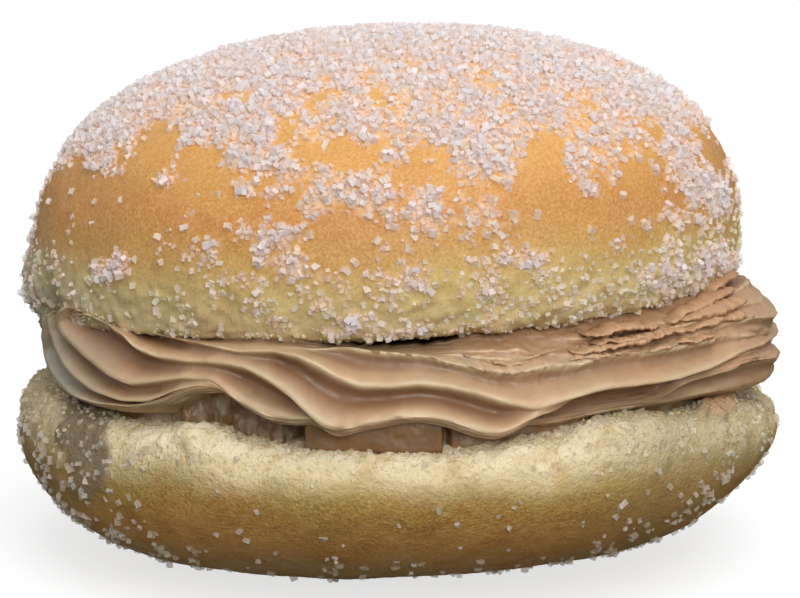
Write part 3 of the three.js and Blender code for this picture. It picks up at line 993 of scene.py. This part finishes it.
# %% Spread layer
LAYER = [  # angle round the doughnut in degrees, and the layer's radius and top there in mm
    (-180, 38, 24), (-150, 38.2, 24), (-138, 37, 25.4), (-134, 37.2, 26.6), (-131, 36.2, 26.6),
    (-126, 37.2, 26.6), (-122, 36.2, 26.6), (-118, 36.8, 26), (-114, 35.6, 25), (-109, 36.6, 24.4),
    (-107.6, 33, 22), (-105.4, 33, 22), (-104, 38.9, 23.8), (-95, 39.2, 23.8), (-83.9, 39.4, 23.8),
    (-83.4, 37, 23.8), (-82.8, 37, 23.8), (-82.2, 38.3, 23.8), (-76, 38, 23.8), (-70, 37, 23.8),
    (-30, 37, 23.8), (0, 38.4, 24), (90, 38, 24), (180, 38, 24),
]
layer_angles = np.concatenate([np.linspace(-180, 178, 180), np.linspace(-142, -79, 300)])
layer_angles = np.unique(layer_angles)
at, layer_radius, layer_top = np.transpose(LAYER)
layer_radius, layer_top = (np.interp(layer_angles, at, line) for line in (layer_radius, layer_top))
spokes = np.stack([np.cos(np.radians(layer_angles)), np.sin(np.radians(layer_angles))], 1)
layer_rows = []
wall = [(climb, 1 - 0.02 * climb**4) for climb in np.linspace(-0.1, 0.93, 12)]
for climb, share in [(-0.15, 0.86), *wall, (1, 0.955), (1, 0.86)]:
    ring = spokes * (layer_radius * share)[:, None]
    layer_rows.append(np.column_stack([ring, LIP_TOP + (layer_top - LIP_TOP) * climb]))
layer = loft("cream_layer", np.array(layer_rows))
divide(layer, 1)
points = coordinates(layer)
turn_at = np.degrees(np.arctan2(points[:, 1], points[:, 0]))
pulled = rise(turn_at, -142, -136) * (1 - rise(turn_at, -106, -103))
pulled += 0.5 * rise(turn_at, -83, -81)
paint(layer, "pulled", np.maximum(pulled, 0.15))
roughen(layer, 3.0, 2.2, "pulled", 3)
roughen(layer, 1.0, 0.5, "pulled", 2)
roughen(layer, 2.4, 0.3)
print(f"layer: {len(layer.data.polygons)} faces")

# %% [markdown]
# ## Finishes
# A small helper adds shader nodes by name, so that each finish reads as a short list. Colours are
# given as a screen shows them, from 0 to 255, and sizes in mm.

# %% Node helper
class Finish:
    """A material and the means to add nodes to it and link them."""

    def __init__(self, name):
        self.material = bpy.data.materials.new(name)
        self.material.use_nodes = True
        self.tree = self.material.node_tree
        self.shader = self.tree.nodes["Principled BSDF"]
        self.place = self.tree.nodes.new("ShaderNodeTexCoord").outputs["Object"]

    def set(self, **values):
        """Sets sockets of the shader that are the same all over."""
        for name, value in values.items():
            self.shader.inputs[name.replace("_", " ")].default_value = value

    def plug(self, socket, value):
        """Links a node to a socket, or sets it to a number or a colour."""
        if isinstance(value, bpy.types.NodeSocket):
            self.tree.links.new(value, socket)
        else:
            socket.default_value = colour(*value) if isinstance(value, tuple) else value

    def noise(self, size, detail=2.0, roughness=0.5):
        """A noise with features of about one size."""
        made = self.tree.nodes.new("ShaderNodeTexNoise")
        made.inputs["Scale"].default_value = 1 / (size * MM)
        made.inputs["Detail"].default_value = detail
        made.inputs["Roughness"].default_value = roughness
        self.plug(made.inputs["Vector"], self.place)
        return made.outputs["Fac"]

    def cells(self, size):
        """How far it is to the middle of the nearest cell, of cells of about one size."""
        made = self.tree.nodes.new("ShaderNodeTexVoronoi")
        made.inputs["Scale"].default_value = 1 / (size * MM)
        self.plug(made.inputs["Vector"], self.place)
        return made.outputs["Distance"]

    def painted(self, name, amount=None):
        """A share that was painted on the piece, all of it or an amount."""
        made = self.tree.nodes.new("ShaderNodeAttribute")
        made.attribute_name = name
        return made.outputs["Fac"] if amount is None else self.times(made.outputs["Fac"], amount)

    def sum(self, operation, a, b):
        made = self.tree.nodes.new("ShaderNodeMath")
        made.operation = operation
        self.plug(made.inputs[0], a)
        self.plug(made.inputs[1], b)
        return made.outputs[0]

    def times(self, a, b):
        return self.sum("MULTIPLY", a, b)

    def span(self, value, low, high, to_low=0.0, to_high=1.0):
        """Stretches the part of a value from low to high."""
        made = self.tree.nodes.new("ShaderNodeMapRange")
        made.clamp = True
        self.plug(made.inputs["Value"], value)
        names = ("From Min", "From Max", "To Min", "To Max")
        for name, number in zip(names, (low, high, to_low, to_high)):
            made.inputs[name].default_value = number
        return made.outputs["Result"]

    def ramp(self, value, *stops):
        """Colours at places from 0 to 1."""
        made = self.tree.nodes.new("ShaderNodeValToRGB")
        self.plug(made.inputs["Fac"], value)
        line = made.color_ramp.elements
        stops = [(position, colour(*tint)) for position, tint in stops]
        line[0].position, line[0].color = stops[0]
        line[1].position, line[1].color = stops[-1]
        for position, tint in stops[1:-1]:
            line.new(position).color = tint
        return made.outputs["Color"]

    def mix(self, share, a, b):
        """Goes from one colour to another by a share."""
        made = self.tree.nodes.new("ShaderNodeMix")
        made.data_type = "RGBA"
        self.plug(made.inputs[0], share)
        self.plug(made.inputs[6], a)
        self.plug(made.inputs[7], b)
        return made.outputs[2]

    def mottle(self, tint, size, low, high, amount, other, roughness=0.5):
        """Mixes in another colour where a noise is high."""
        return self.mix(self.span(self.noise(size, 3, roughness), low, high, 0, amount), tint, other)

    def bump(self, height, distance, strength, under=None):
        """A relief, on top of another one if there is one under it."""
        made = self.tree.nodes.new("ShaderNodeBump")
        made.inputs["Strength"].default_value = strength
        made.inputs["Distance"].default_value = distance * MM
        self.plug(made.inputs["Height"], height)
        if under:
            self.plug(made.inputs["Normal"], under)
        return made.outputs["Normal"]

    def finish(self, tint, rough, normal):
        """Plugs the three into the shader, and gives the material."""
        self.plug(self.shader.inputs["Base Color"], tint)
        self.plug(self.shader.inputs["Roughness"], rough)
        self.plug(self.shader.inputs["Normal"], normal)
        return self.material


# %% [markdown]
# ### Crust
# Fried yeast dough is darkest round the belly, golden on top and pale where it never met the fat.
# The colour follows the height above the cut face, which leans, with noise so that no line is straight.

# %% Crown finish
CROWN_HEIGHT = 29  # mm


def crust():
    f = Finish("sugared_crust")
    split = f.tree.nodes.new("ShaderNodeSeparateXYZ")
    f.plug(split.inputs[0], f.place)
    lean = f.times(split.outputs["X"], -math.tan(CROWN_LEAN))
    height = f.sum("ADD", f.sum("SUBTRACT", split.outputs["Z"], CUT_FACE * MM), lean)
    share = f.sum("DIVIDE", height, CROWN_HEIGHT * MM)
    share = f.sum("ADD", share, f.span(f.noise(10, 3), 0, 1, -0.07, 0.07))
    tint = f.ramp(
        share, (0.0, (178, 158, 116)), (0.06, (200, 184, 138)), (0.2, (200, 178, 114)),
        (0.3, (196, 150, 84)), (0.42, (196, 136, 74)), (0.65, (214, 156, 86)),
        (1.0, (228, 176, 108)),
    )
    tint = f.mottle(tint, 3.2, 0.4, 0.7, 0.25, (178, 118, 60))
    tint = f.mottle(tint, 0.3, 0.45, 0.62, 0.3, (240, 206, 150), 0.7)
    pores = f.span(f.cells(0.7), 0.3, 0.05, 0, 0.35)
    tint = f.mix(pores, tint, (160, 100, 50))
    # painted reflection of cool light on the left skirt
    tint = f.mix(f.painted("rough_skirt_cool_reflection_share", 0.85), tint, (184, 184, 168))
    melted = f.times(f.painted("drift_share"), f.span(f.noise(1.2, 3), 0.3, 0.6, 0.1, 0.6))
    tint = f.mix(melted, tint, (246, 216, 186))  # sugar too fine to strew, between the crystals
    fine = f.bump(f.noise(0.45, 3), 0.12, 0.5)
    soft = f.bump(f.noise(2.0, 2), 0.4, 0.35, fine)
    f.set(Subsurface_Weight=0.12, Subsurface_Radius=(1, 0.5, 0.25), Subsurface_Scale=1.2 * MM)
    f.set(Specular_IOR_Level=0.3)
    return f.finish(tint, f.span(f.noise(1.5, 2), 0.3, 0.7, 0.42, 0.62), soft)


crown.data.materials.append(crust())
print("crown:", crown.data.materials[0].name)

# %% [markdown]
# ### Base dough
# The same dough the other way up: pale and spongy at the lip, yellow under it, browned lower down,
# and in its own shadow at the foot. The smear and the dab of cream have a colour of their own.

# %% Base finish
BASE_HEIGHT = 19.6  # mm, with the torn flaps


def dough():
    f = Finish("base_dough")
    split = f.tree.nodes.new("ShaderNodeSeparateXYZ")
    f.plug(split.inputs[0], f.place)
    share = f.sum("DIVIDE", split.outputs["Z"], BASE_HEIGHT * MM)
    share = f.sum("ADD", share, f.span(f.noise(9, 3), 0, 1, -0.15, 0.15))
    share = f.sum("ADD", share, f.span(f.noise(2.6, 3), 0, 1, -0.1, 0.1))
    tint = f.ramp(
        share, (0.0, (92, 82, 74)), (0.2, (200, 168, 136)), (0.42, (212, 155, 90)),
        (0.6, (170, 126, 60)), (0.74, (160, 136, 66)), (0.9, (204, 184, 132)),
    )
    tint = f.mottle(tint, 4.5, 0.5, 0.7, 0.6, (170, 112, 52))
    tint = f.mottle(tint, 1.2, 0.45, 0.7, 0.35, (204, 170, 96))
    tint = f.mottle(tint, 0.35, 0.45, 0.62, 0.3, (222, 198, 140), 0.7)
    tint = f.mix(f.span(f.cells(0.8), 0.3, 0.05, 0, 0.3), tint, (132, 94, 50))
    torn = f.times(f.painted("lip_share"), f.span(f.noise(1.6, 3, 0.6), 0.3, 0.6, 0.65, 1))
    tint = f.mix(torn, tint, (240, 222, 180))
    # painted light on the lip's top edge
    tint = f.mix(f.painted("edge_share", 0.5), tint, (252, 238, 208))
    tint = f.mottle(tint, 2.8, 0.5, 0.7, 0.4, (190, 156, 84))
    # painted shade on both sides
    tint = f.mix(f.painted("shaded_share", 0.5), tint, (156, 134, 96))
    film = f.mix(f.painted("blob_share"), (140, 124, 100), (204, 166, 128))
    tint = f.mix(f.painted("smear_share"), tint, film)
    pores = f.span(f.cells(0.7), 0.0, 0.5)
    crumb = f.bump(f.times(pores, f.painted("lip_share")), 0.35, 0.5)
    grain = f.bump(f.noise(0.55, 4, 0.7), 0.5, 0.6, crumb)
    fine = f.bump(f.noise(0.25, 3, 0.7), 0.25, 0.8, grain)
    f.set(Subsurface_Weight=0.15, Subsurface_Radius=(1, 0.6, 0.3), Subsurface_Scale=1.5 * MM)
    f.set(Specular_IOR_Level=0.25)
    return f.finish(tint, f.span(f.noise(1.5, 2), 0.3, 0.7, 0.5, 0.7), fine)


base.data.materials.append(dough())
print("base:", base.data.materials[0].name)

# %% [markdown]
# ### Nut cream
# Whipped cream with hazelnut paste: light passes a little way into it, it has a dull gloss, and
# ground nut skin leaves dark specks that are far apart. Crests get a painted highlight, and valleys,
# and cream far in under the crown or low over the base, get painted shade. The left end gets a
# painted reflection of cool light. The layer underneath has the same finish in darker colours,
# painted shade for where it lies recessed under the rope.

# %% Cream finish
def nut_cream(name, crest, side, valley_tone_and_shade, grey):
    f = Finish(name)
    body = f.mix(f.span(f.noise(8, 2), 0.4, 0.6), side, grey)
    # painted shade: the valleys darken with their depth
    body = f.mix(f.span(f.painted("valley_tone_and_shade_share"), 0.1, 1.1), body, valley_tone_and_shade)
    body = f.mottle(body, 1.1, 0.4, 0.7, 0.22, valley_tone_and_shade)
    # painted shade where the cream lies recessed
    body = f.mix(f.painted("recess_shade_share", 0.6), body, (116, 88, 64))
    body = f.mix(f.painted("peach_share", 0.45), body, (204, 162, 126))
    # painted highlight along the crests
    crest_highlight = f.times(f.painted("crest_share"), f.span(f.noise(4, 2), 0.3, 0.6, 0.4, 1))
    body = f.mix(crest_highlight, body, crest)
    body = f.mix(f.painted("torn_share", 0.4), body, (180, 132, 96))
    # painted reflection of cool light at the left end
    body = f.mix(f.painted("cool_reflection_share", 0.7), body, (166, 170, 156))
    specks = f.times(f.span(f.cells(2.3), 0.02, 0.05, 1, 0), 0.7)
    body = f.mix(specks, body, (84, 52, 34))
    pale = f.times(f.painted("pulled_share"), f.span(f.noise(2.2, 3), 0.4, 0.6))
    body = f.mix(pale, body, (158, 142, 118))
    fine = f.bump(f.noise(0.35, 3), 0.05, 0.5)
    soft = f.bump(f.noise(1.6, 3), 0.2, 0.45, fine)
    f.set(Subsurface_Weight=0.2, Subsurface_Radius=(1, 0.6, 0.4), Subsurface_Scale=0.8 * MM)
    return f.finish(body, f.span(f.noise(1.2, 2), 0.3, 0.7, 0.34, 0.48), soft)


whipped = nut_cream("nut_cream", (218, 196, 158), (194, 160, 126), (152, 112, 84), (184, 160, 128))
# the same cream finish in darker colours: painted shade for the layer recessed under the rope
shaded_layer_cream = nut_cream("cream_layer", (150, 118, 80), (136, 100, 66), (116, 80, 48), (120, 92, 64))
cream.data.materials.append(whipped)
layer.data.materials.append(shaded_layer_cream)
print("cream:", whipped.name, "and", shaded_layer_cream.name)

# %% [markdown]
# ## Sugar
# Coarse sugar is thousands of small blocks with chipped corners. A few are modelled one by one, and
# three lumps of crumb with them. They are about 1 across here, and get their size when strewn.

# %% A few crystals
CHIP = 0.24  # how much of a corner is chipped off


def crystal(index, length, width, height, chips):
    """A block with chips at the corners of those numbers."""
    deselect()
    bpy.ops.mesh.primitive_cube_add(size=1)
    piece = bpy.context.object
    piece.name = f"crystal_{index}"
    piece.scale = (length, width, height)
    bpy.ops.object.transform_apply(scale=True)
    bpy.ops.object.mode_set(mode="EDIT")
    bpy.ops.mesh.select_mode(type="VERT")
    bpy.ops.mesh.select_all(action="DESELECT")
    bpy.ops.object.mode_set(mode="OBJECT")
    for corner in chips:
        piece.data.vertices[corner].select = True
    bpy.ops.object.mode_set(mode="EDIT")
    bpy.ops.mesh.bevel(offset=CHIP, affect="VERTICES")
    bpy.ops.mesh.select_all(action="SELECT")
    bpy.ops.transform.vertex_random(offset=0.08, seed=index + 1)
    bpy.ops.object.mode_set(mode="OBJECT")
    return piece


def boxed(name, pieces):
    """Keeps models out of the scene, in a collection of their own."""
    box = bpy.data.collections.new(name)
    bpy.context.scene.collection.children.link(box)
    for piece in pieces:
        for other in list(piece.users_collection):
            other.objects.unlink(piece)
        box.objects.link(piece)
    return box


def crumb(index):
    """A lump of a few faces."""
    deselect()
    bpy.ops.mesh.primitive_ico_sphere_add(subdivisions=1, radius=0.5)
    piece = bpy.context.object
    piece.name = f"crumb_{index}"
    bpy.ops.object.mode_set(mode="EDIT")
    bpy.ops.transform.vertex_random(offset=0.3, seed=index + 21)
    bpy.ops.object.mode_set(mode="OBJECT")
    return piece


fine_jar = boxed("fine_jar", [
    crystal(0, 1.0, 0.85, 0.8, (0,)), crystal(1, 1.1, 0.8, 0.7, (6,)),
    crystal(2, 0.95, 0.95, 0.75, (3,)),
])
jar = boxed("jar", [
    crystal(3, 1.0, 0.85, 0.75, (0, 6)), crystal(4, 1.2, 0.75, 0.7, (1, 7, 4)),
    crystal(5, 0.9, 0.9, 0.8, (2, 5)), crystal(6, 1.1, 0.7, 0.6, (3, 6)),
])
crumbs = boxed("crumbs", [crumb(0), crumb(1), crumb(2)])

# %% [markdown]
# Where the sugar lies: drifts and bare patches are drawn as spots (across, down, reach, amount), on
# top of a fall-off down the side and noise. Behind, noise alone decides.

# %% Drifts
DRIFTS = [
    (102, 160, 14, 1.2), (72, 135, 9, 0.8), (160, 180, 12, 0.6), (192, 179, 15, 0.9),
    (188, 211, 12, 0.5), (245, 189, 8, 0.9), (119, 257, 8, 0.8), (102, 273, 10, 0.8),
    (211, 253, 11, 0.8), (239, 229, 11, 0.8), (275, 234, 12, 0.8), (260, 254, 10, 0.6),
    (298, 265, 10, 0.6), (250, 158, 18, 0.8), (285, 172, 22, 0.9), (320, 188, 22, 1.0),
    (355, 196, 20, 0.9), (385, 195, 14, 0.6), (310, 215, 14, 0.5), (425, 200, 24, 0.6),
    (430, 225, 14, 0.4), (490, 216, 14, 0.5), (492, 160, 20, 0.9), (509, 178, 8, 0.9),
    (575, 160, 20, 1.0), (584, 184, 8, 0.8), (612, 158, 13, 0.9), (611, 178, 7, 0.7),
    (640, 150, 13, 0.7), (680, 160, 20, 0.7), (700, 185, 20, 0.8), (722, 200, 14, 0.8),
    (675, 220, 12, 0.6), (701, 224, 9, 0.7), (634, 221, 10, 0.7), (616, 243, 9, 0.5),
    (666, 243, 7, 0.5), (530, 262, 18, 0.7), (415, 282, 17, 0.6), (486, 285, 9, 0.4),
    (585, 262, 9, 0.4), (680, 270, 30, 0.6), (715, 262, 18, 0.5), (60, 140, 18, 0.7),
]
BARE = [
    (110, 130, 14, 0.3), (165, 138, 20, 0.25), (225, 115, 22, 0.2), (150, 162, 12, 0.4),
    (240, 85, 18, 0.2), (320, 98, 18, 0.55), (287, 126, 15, 0.7), (387, 130, 16, 0.8),
    (358, 162, 19, 0.9), (118, 155, 8, 0.9), (195, 163, 17, 0.8), (120, 200, 45, 0.5),
    (407, 127, 9, 0.6), (444, 92, 10, 0.6), (508, 106, 15, 0.5), (545, 150, 20, 1.1),
    (548, 190, 26, 0.9), (610, 212, 26, 0.7), (584, 104, 18, 0.4), (682, 108, 16, 0.5),
    (712, 150, 15, 0.6), (659, 163, 8, 0.7), (418, 70, 14, 0.35), (450, 205, 10, 0.4),
    (330, 235, 20, 0.4), (575, 235, 30, 0.4),
]


def by_spot(seen, across, down, reach):
    """1 in the middle of a spot on the drawing, and less the further away."""
    away = ((seen[:, 0] - across) ** 2 + (seen[:, 1] - down) ** 2) / reach**2
    return np.exp(-away)


def drift_shares(points, height):
    share = rise(height + 2.2 * bumps(points, 11, 3), 15.5, 21.5)
    share = share + 0.75 * bumps(points, 5.5, 4) + 0.45 * bumps(points, 2.2, 5)
    seen = as_seen(points)
    facing = points[:, 1] < 4
    for spots, sign in ((DRIFTS, 1), (BARE, -1)):
        for across, down, reach, amount in spots:
            share = share + sign * amount * by_spot(seen, across, down, reach) * facing
    return share


# %% [markdown]
# Five shares come of it. Fine crystals dust the drifts and their edges, a bed of them lies in the
# drifts, and coarse ones heap up where a drift is thick, though less on top, where they were pressed
# flat. Loose ones lie anywhere, and grains stick to the damp rim, most of them on the right.

# %% Painting the sugar's places
points = coordinates(crown)
height = crown_height(points)
drift = drift_shares(points, height)
upper = height > 0.6
clumps = bumps(points, 1.3, 7) + 0.6 * bumps(points, 0.7, 9)
paint(crown, "dusted", rise(drift + 0.3 * clumps, 0.0, 0.8) * upper)
paint(crown, "drift", rise(drift + 0.5 * clumps, 0.25, 0.85) * upper)
thick = 1 - 0.8 * rise(drift + 0.4 * bumps(points, 5, 22), 1.15, 1.6)
paint(crown, "heap", rise(drift + 0.7 * clumps, 0.55, 0.85) * thick * upper)
low_down = 0.35 * rise(bumps(points, 4, 6), 0.1, 0.5) * (height < 9)
loose = 0.06 + 0.6 * rise(drift, -0.1, 0.5) + low_down
paint(crown, "loose", loose * upper)
right = rise(points[:, 0], -14, 30)
sticky = 0.08 + 0.5 * right + 0.6 * rise(bumps(points, 3.5, 16), 0, 0.5)
paint(crown, "rim_grains", (1 - rise(height, 6, 10)) * sticky)
print(f"drifts cover {100 * np.mean(rise(drift[upper], 0.35, 0.75)):.0f}% of the crown")

# %% [markdown]
# `strew` lets geometry nodes spread points over the dough by a painted share, no two nearer than a
# given distance, put a crystal on each, turned at random, and make them one real mesh. Each crystal
# keeps a random tone for its finish. Every draw has its own seed.

# %% Strewing
def strew(name, carrier, share, apart, per_cm2, sizes, sunk, seed, models, smooth=False):
    """Copies models over a carrier by a painted share, and returns them as one mesh.
    Apart, sizes and sunk, which is how far out their middles lie, are in mm."""
    deselect()
    bpy.ops.mesh.primitive_plane_add(size=0.001)
    piece = bpy.context.object
    piece.name = name
    group = bpy.data.node_groups.new(name, "GeometryNodeTree")
    group.interface.new_socket("Geometry", in_out="OUTPUT", socket_type="NodeSocketGeometry")
    add, link = group.nodes.new, group.links.new
    source = add("GeometryNodeObjectInfo")
    source.inputs["Object"].default_value = carrier
    field = add("GeometryNodeInputNamedAttribute")
    field.inputs["Name"].default_value = share + "_share"
    points = add("GeometryNodeDistributePointsOnFaces")
    points.distribute_method = "POISSON"
    points.inputs["Distance Min"].default_value = apart * MM
    points.inputs["Density Max"].default_value = per_cm2 * 1e4
    points.inputs["Seed"].default_value = seed
    link(source.outputs["Geometry"], points.inputs["Mesh"])
    link(field.outputs["Attribute"], points.inputs["Density Factor"])

    def draw(low, high, number):
        """A random value for each point. It is a vector where low is one."""
        drawn = add("FunctionNodeRandomValue")
        vector = isinstance(low, tuple)
        drawn.data_type = "FLOAT_VECTOR" if vector else "FLOAT"
        first = 0 if vector else 2
        drawn.inputs[first].default_value, drawn.inputs[first + 1].default_value = low, high
        drawn.inputs["Seed"].default_value = seed + number
        return drawn.outputs[0 if vector else 1]

    out_along = add("ShaderNodeVectorMath")
    out_along.operation = "SCALE"
    link(points.outputs["Normal"], out_along.inputs[0])
    link(draw(sunk[0] * MM, sunk[1] * MM, 1), out_along.inputs["Scale"])
    lift = add("GeometryNodeSetPosition")
    link(points.outputs["Points"], lift.inputs["Geometry"])
    link(out_along.outputs[0], lift.inputs["Offset"])
    box = add("GeometryNodeCollectionInfo")
    box.inputs["Collection"].default_value = models
    box.inputs["Separate Children"].default_value = True
    copies = add("GeometryNodeInstanceOnPoints")
    copies.inputs["Pick Instance"].default_value = True
    link(lift.outputs["Geometry"], copies.inputs["Points"])
    link(box.outputs[0], copies.inputs["Instance"])
    link(draw((0, 0, 0), (6.28, 6.28, 6.28), 2), copies.inputs["Rotation"])
    link(draw(sizes[0] * MM, sizes[1] * MM, 3), copies.inputs["Scale"])
    keep = add("GeometryNodeStoreNamedAttribute")
    keep.domain = "INSTANCE"
    keep.inputs["Name"].default_value = "tone"
    link(copies.outputs["Instances"], keep.inputs["Geometry"])
    link(draw(0, 1, 4), keep.inputs["Value"])
    real = add("GeometryNodeRealizeInstances")
    link(keep.outputs["Geometry"], real.inputs["Geometry"])
    out = add("NodeGroupOutput")
    link(real.outputs["Geometry"], out.inputs[0])
    strewn = piece.modifiers.new("strew", "NODES")
    strewn.node_group = group
    apply_all(piece)
    piece.data.materials.clear()
    if smooth:
        bpy.ops.object.shade_smooth()
    triangles = sum(len(p.vertices) - 2 for p in piece.data.polygons)
    print(f"{name}: {triangles} triangles")
    return piece


# %% Sugar on the crown
HALF_SUNK = (-0.18, 0.08)  # mm, for single grains
sugar_dust = strew("sugar_dust", crown, "dusted", 0.4, 470, (0.34, 0.56), (-0.08, 0.1), 11, fine_jar)
sugar_bed = strew("sugar_bed", crown, "drift", 0.43, 440, (0.4, 0.62), (-0.05, 0.2), 51, fine_jar)
sugar_drifts = strew("sugar_drifts", crown, "heap", 0.42, 300, (0.45, 0.82), (0.1, 0.5), 21, jar)
sugar_loose = strew("sugar_loose", crown, "loose", 0.9, 90, (0.5, 0.9), HALF_SUNK, 31, jar)
sugar_rim = strew("sugar_rim", crown, "rim_grains", 0.5, 260, (0.35, 0.7), HALF_SUNK, 81, fine_jar)

# %% [markdown]
# ### Sugar finish
# A crystal is clear, but a heap of them looks white, because light leaves by another face than it
# came in. True glass needs far more light paths than this scene has. A white surface that lets half
# the light straight through looks right: gaps stay light, and crust shows.

# %% Sugar finish
def sugar(name, tint, other, solid):
    """Crystals of colours between two. Solid is the share of light that they stop."""
    f = Finish(name)
    body = f.mix(f.painted("tone"), tint, other)
    f.set(IOR=1.5, Alpha=solid, Sheen_Weight=0.2, Sheen_Roughness=0.3)
    worn = f.bump(f.noise(0.25, 2), 0.03, 0.3)
    return f.finish(body, f.span(f.noise(0.3, 2), 0.3, 0.7, 0.1, 0.3), worn)


packed = sugar("sugar_packed", (254, 224, 198), (250, 236, 232), 0.45)
heaped = sugar("sugar_heaped", (252, 234, 224), (248, 244, 250), 0.52)
clear = sugar("sugar_clear", (250, 232, 208), (252, 246, 242), 0.5)
damp = sugar("sugar_damp", (236, 226, 192), (250, 246, 236), 0.45)
pieces = (sugar_dust, sugar_bed, sugar_drifts, sugar_loose, sugar_rim)
for piece, look in zip(pieces, (packed, packed, heaped, clear, damp)):
    piece.data.materials.append(look)
    print(piece.name, "is", look.name)

# %% [markdown]
# ## Sugar on the base
# Little sugar reached the lower half. It lies in drawn spots, most of them low on both sides, and a
# fringe of small wet grains, half dissolved, sticks to the outside of the lip.

# %% Sugar on the base
BASE_SPOTS = [  # (across, down, reach, amount)
    (148, 443, 7, 0.9), (188, 463, 8, 0.6), (127, 500, 14, 0.8), (100, 480, 12, 0.8),
    (240, 530, 8, 0.8), (252, 517, 7, 0.5), (332, 565, 9, 1.0), (413, 567, 7, 0.7),
    (193, 555, 12, 1.0), (157, 547, 12, 1.0), (120, 535, 14, 1.0), (80, 510, 16, 1.0),
    (60, 480, 14, 1.0), (40, 450, 12, 0.9), (30, 420, 10, 0.8), (215, 492, 8, 0.4),
    (600, 540, 12, 0.9), (640, 525, 14, 1.0), (680, 505, 14, 1.0), (715, 480, 14, 1.0),
    (745, 450, 14, 1.0), (765, 425, 10, 0.8), (660, 480, 10, 0.6), (700, 455, 10, 0.7),
    (620, 505, 8, 0.5), (560, 560, 10, 0.7), (500, 568, 8, 0.5), (730, 425, 8, 0.5),
]
points = coordinates(base)
seen = as_seen(points)
radius = np.hypot(points[:, 0], points[:, 1])
side = (points[:, 2] > 0.6) & (points[:, 2] < 17.5) & (radius > 20)
scattered = rise(bumps(points, 1.6, 20), -0.4, 0.3)
where = 0.03 + 0.5 * rise(bumps(points, 5, 8), -0.05, 0.4) * rise(np.abs(points[:, 0]), 20, 36)
for across, down, reach, amount in BASE_SPOTS:
    where += amount * by_spot(seen, across, down, reach) * scattered * (points[:, 1] < 6)
paint(base, "grains", where * side)
fringe = rise(points[:, 2], 15, 17.4) * rise(radius, 35.5, 37)
fringe = fringe * (0.2 + 0.8 * rise(bumps(points, 3, 23), -0.1, 0.4)) * (1 - blob)
paint(base, "fringe", fringe)
sugar_lip = strew("sugar_lip", base, "fringe", 0.4, 260, (0.3, 0.6), (-0.15, 0.05), 91, fine_jar)
sugar_lip.data.materials.append(sugar("sugar_wet", (228, 208, 160), (246, 236, 212), 0.42))
sugar_base = strew("sugar_base", base, "grains", 0.55, 170, (0.4, 0.85), (-0.15, 0.1), 41, jar)
# painted shade: greyer tints for the crystals low on the base
sugar_base.data.materials.append(sugar("sugar_shaded", (206, 190, 164), (222, 214, 202), 0.45))

# %% [markdown]
# ## Crumbs
# Where the knife tore the dough, small crumbs stand up along the lip of the base and the rim of the
# crown. They are lumps of a few faces, strewn like the sugar. Their finish is paler than the dough's,
# since they are all inside and no skin.

# %% Crumbs
CRUMB = (0.3, 0.6)  # mm across
SUNK = (-0.15, 0.0)  # mm
lip_top = rise(points[:, 2], 17.4, 18.6) * rise(radius, 37.4, 38.6) * (1 - rise(radius, 40.2, 41.2))
paint(base, "torn_lip", lip_top * rise(bumps(points, 5, 14), -0.2, 0.4))
crumbs_base = strew("crumbs_base", base, "torn_lip", 0.4, 140, CRUMB, SUNK, 61, crumbs, True)
points = coordinates(crown)
height = crown_height(points)
rim_low = (1 - rise(height, 0.8, 2.4)) * rise(np.hypot(points[:, 0], points[:, 1]), 36, 37)
paint(crown, "torn_rim", rim_low * (0.3 + 0.7 * rise(bumps(points, 5, 15), -0.1, 0.4)))
crumbs_crown = strew("crumbs_crown", crown, "torn_rim", 0.4, 200, CRUMB, SUNK, 71, crumbs, True)


def crumb_finish():
    f = Finish("crumb")
    tint = f.mix(f.painted("tone"), (192, 172, 120), (214, 198, 152))
    f.set(Subsurface_Weight=0.4, Subsurface_Radius=(1, 0.7, 0.4), Subsurface_Scale=1.0 * MM)
    spongy = f.bump(f.noise(0.3, 3), 0.08, 0.6)
    return f.finish(tint, f.span(f.noise(0.6, 2), 0.3, 0.7, 0.45, 0.7), spongy)


for piece in (crumbs_base, crumbs_crown):
    piece.data.materials.append(crumb_finish())

# %% [markdown]
# ## Onto the frame's body
# Every piece rides on the frame's one body. The crown, the base and the cream stand for their solids.

# %% Onto the body
for box in (fine_jar, jar, crumbs):
    for piece in list(box.objects):
        bpy.data.objects.remove(piece)
SLOTS = {
    "sugared_crust": [
        crown, sugar_dust, sugar_bed, sugar_drifts, sugar_loose, sugar_rim, crumbs_crown,
    ],
    "base_dough": [base, sugar_base, sugar_lip, crumbs_base],
    "nut_cream": [cream, layer],
}
for slot, pieces in SLOTS.items():
    for piece in pieces:
        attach(piece, "root")
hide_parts("crown")
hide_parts("base")
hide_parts("cream_filling")
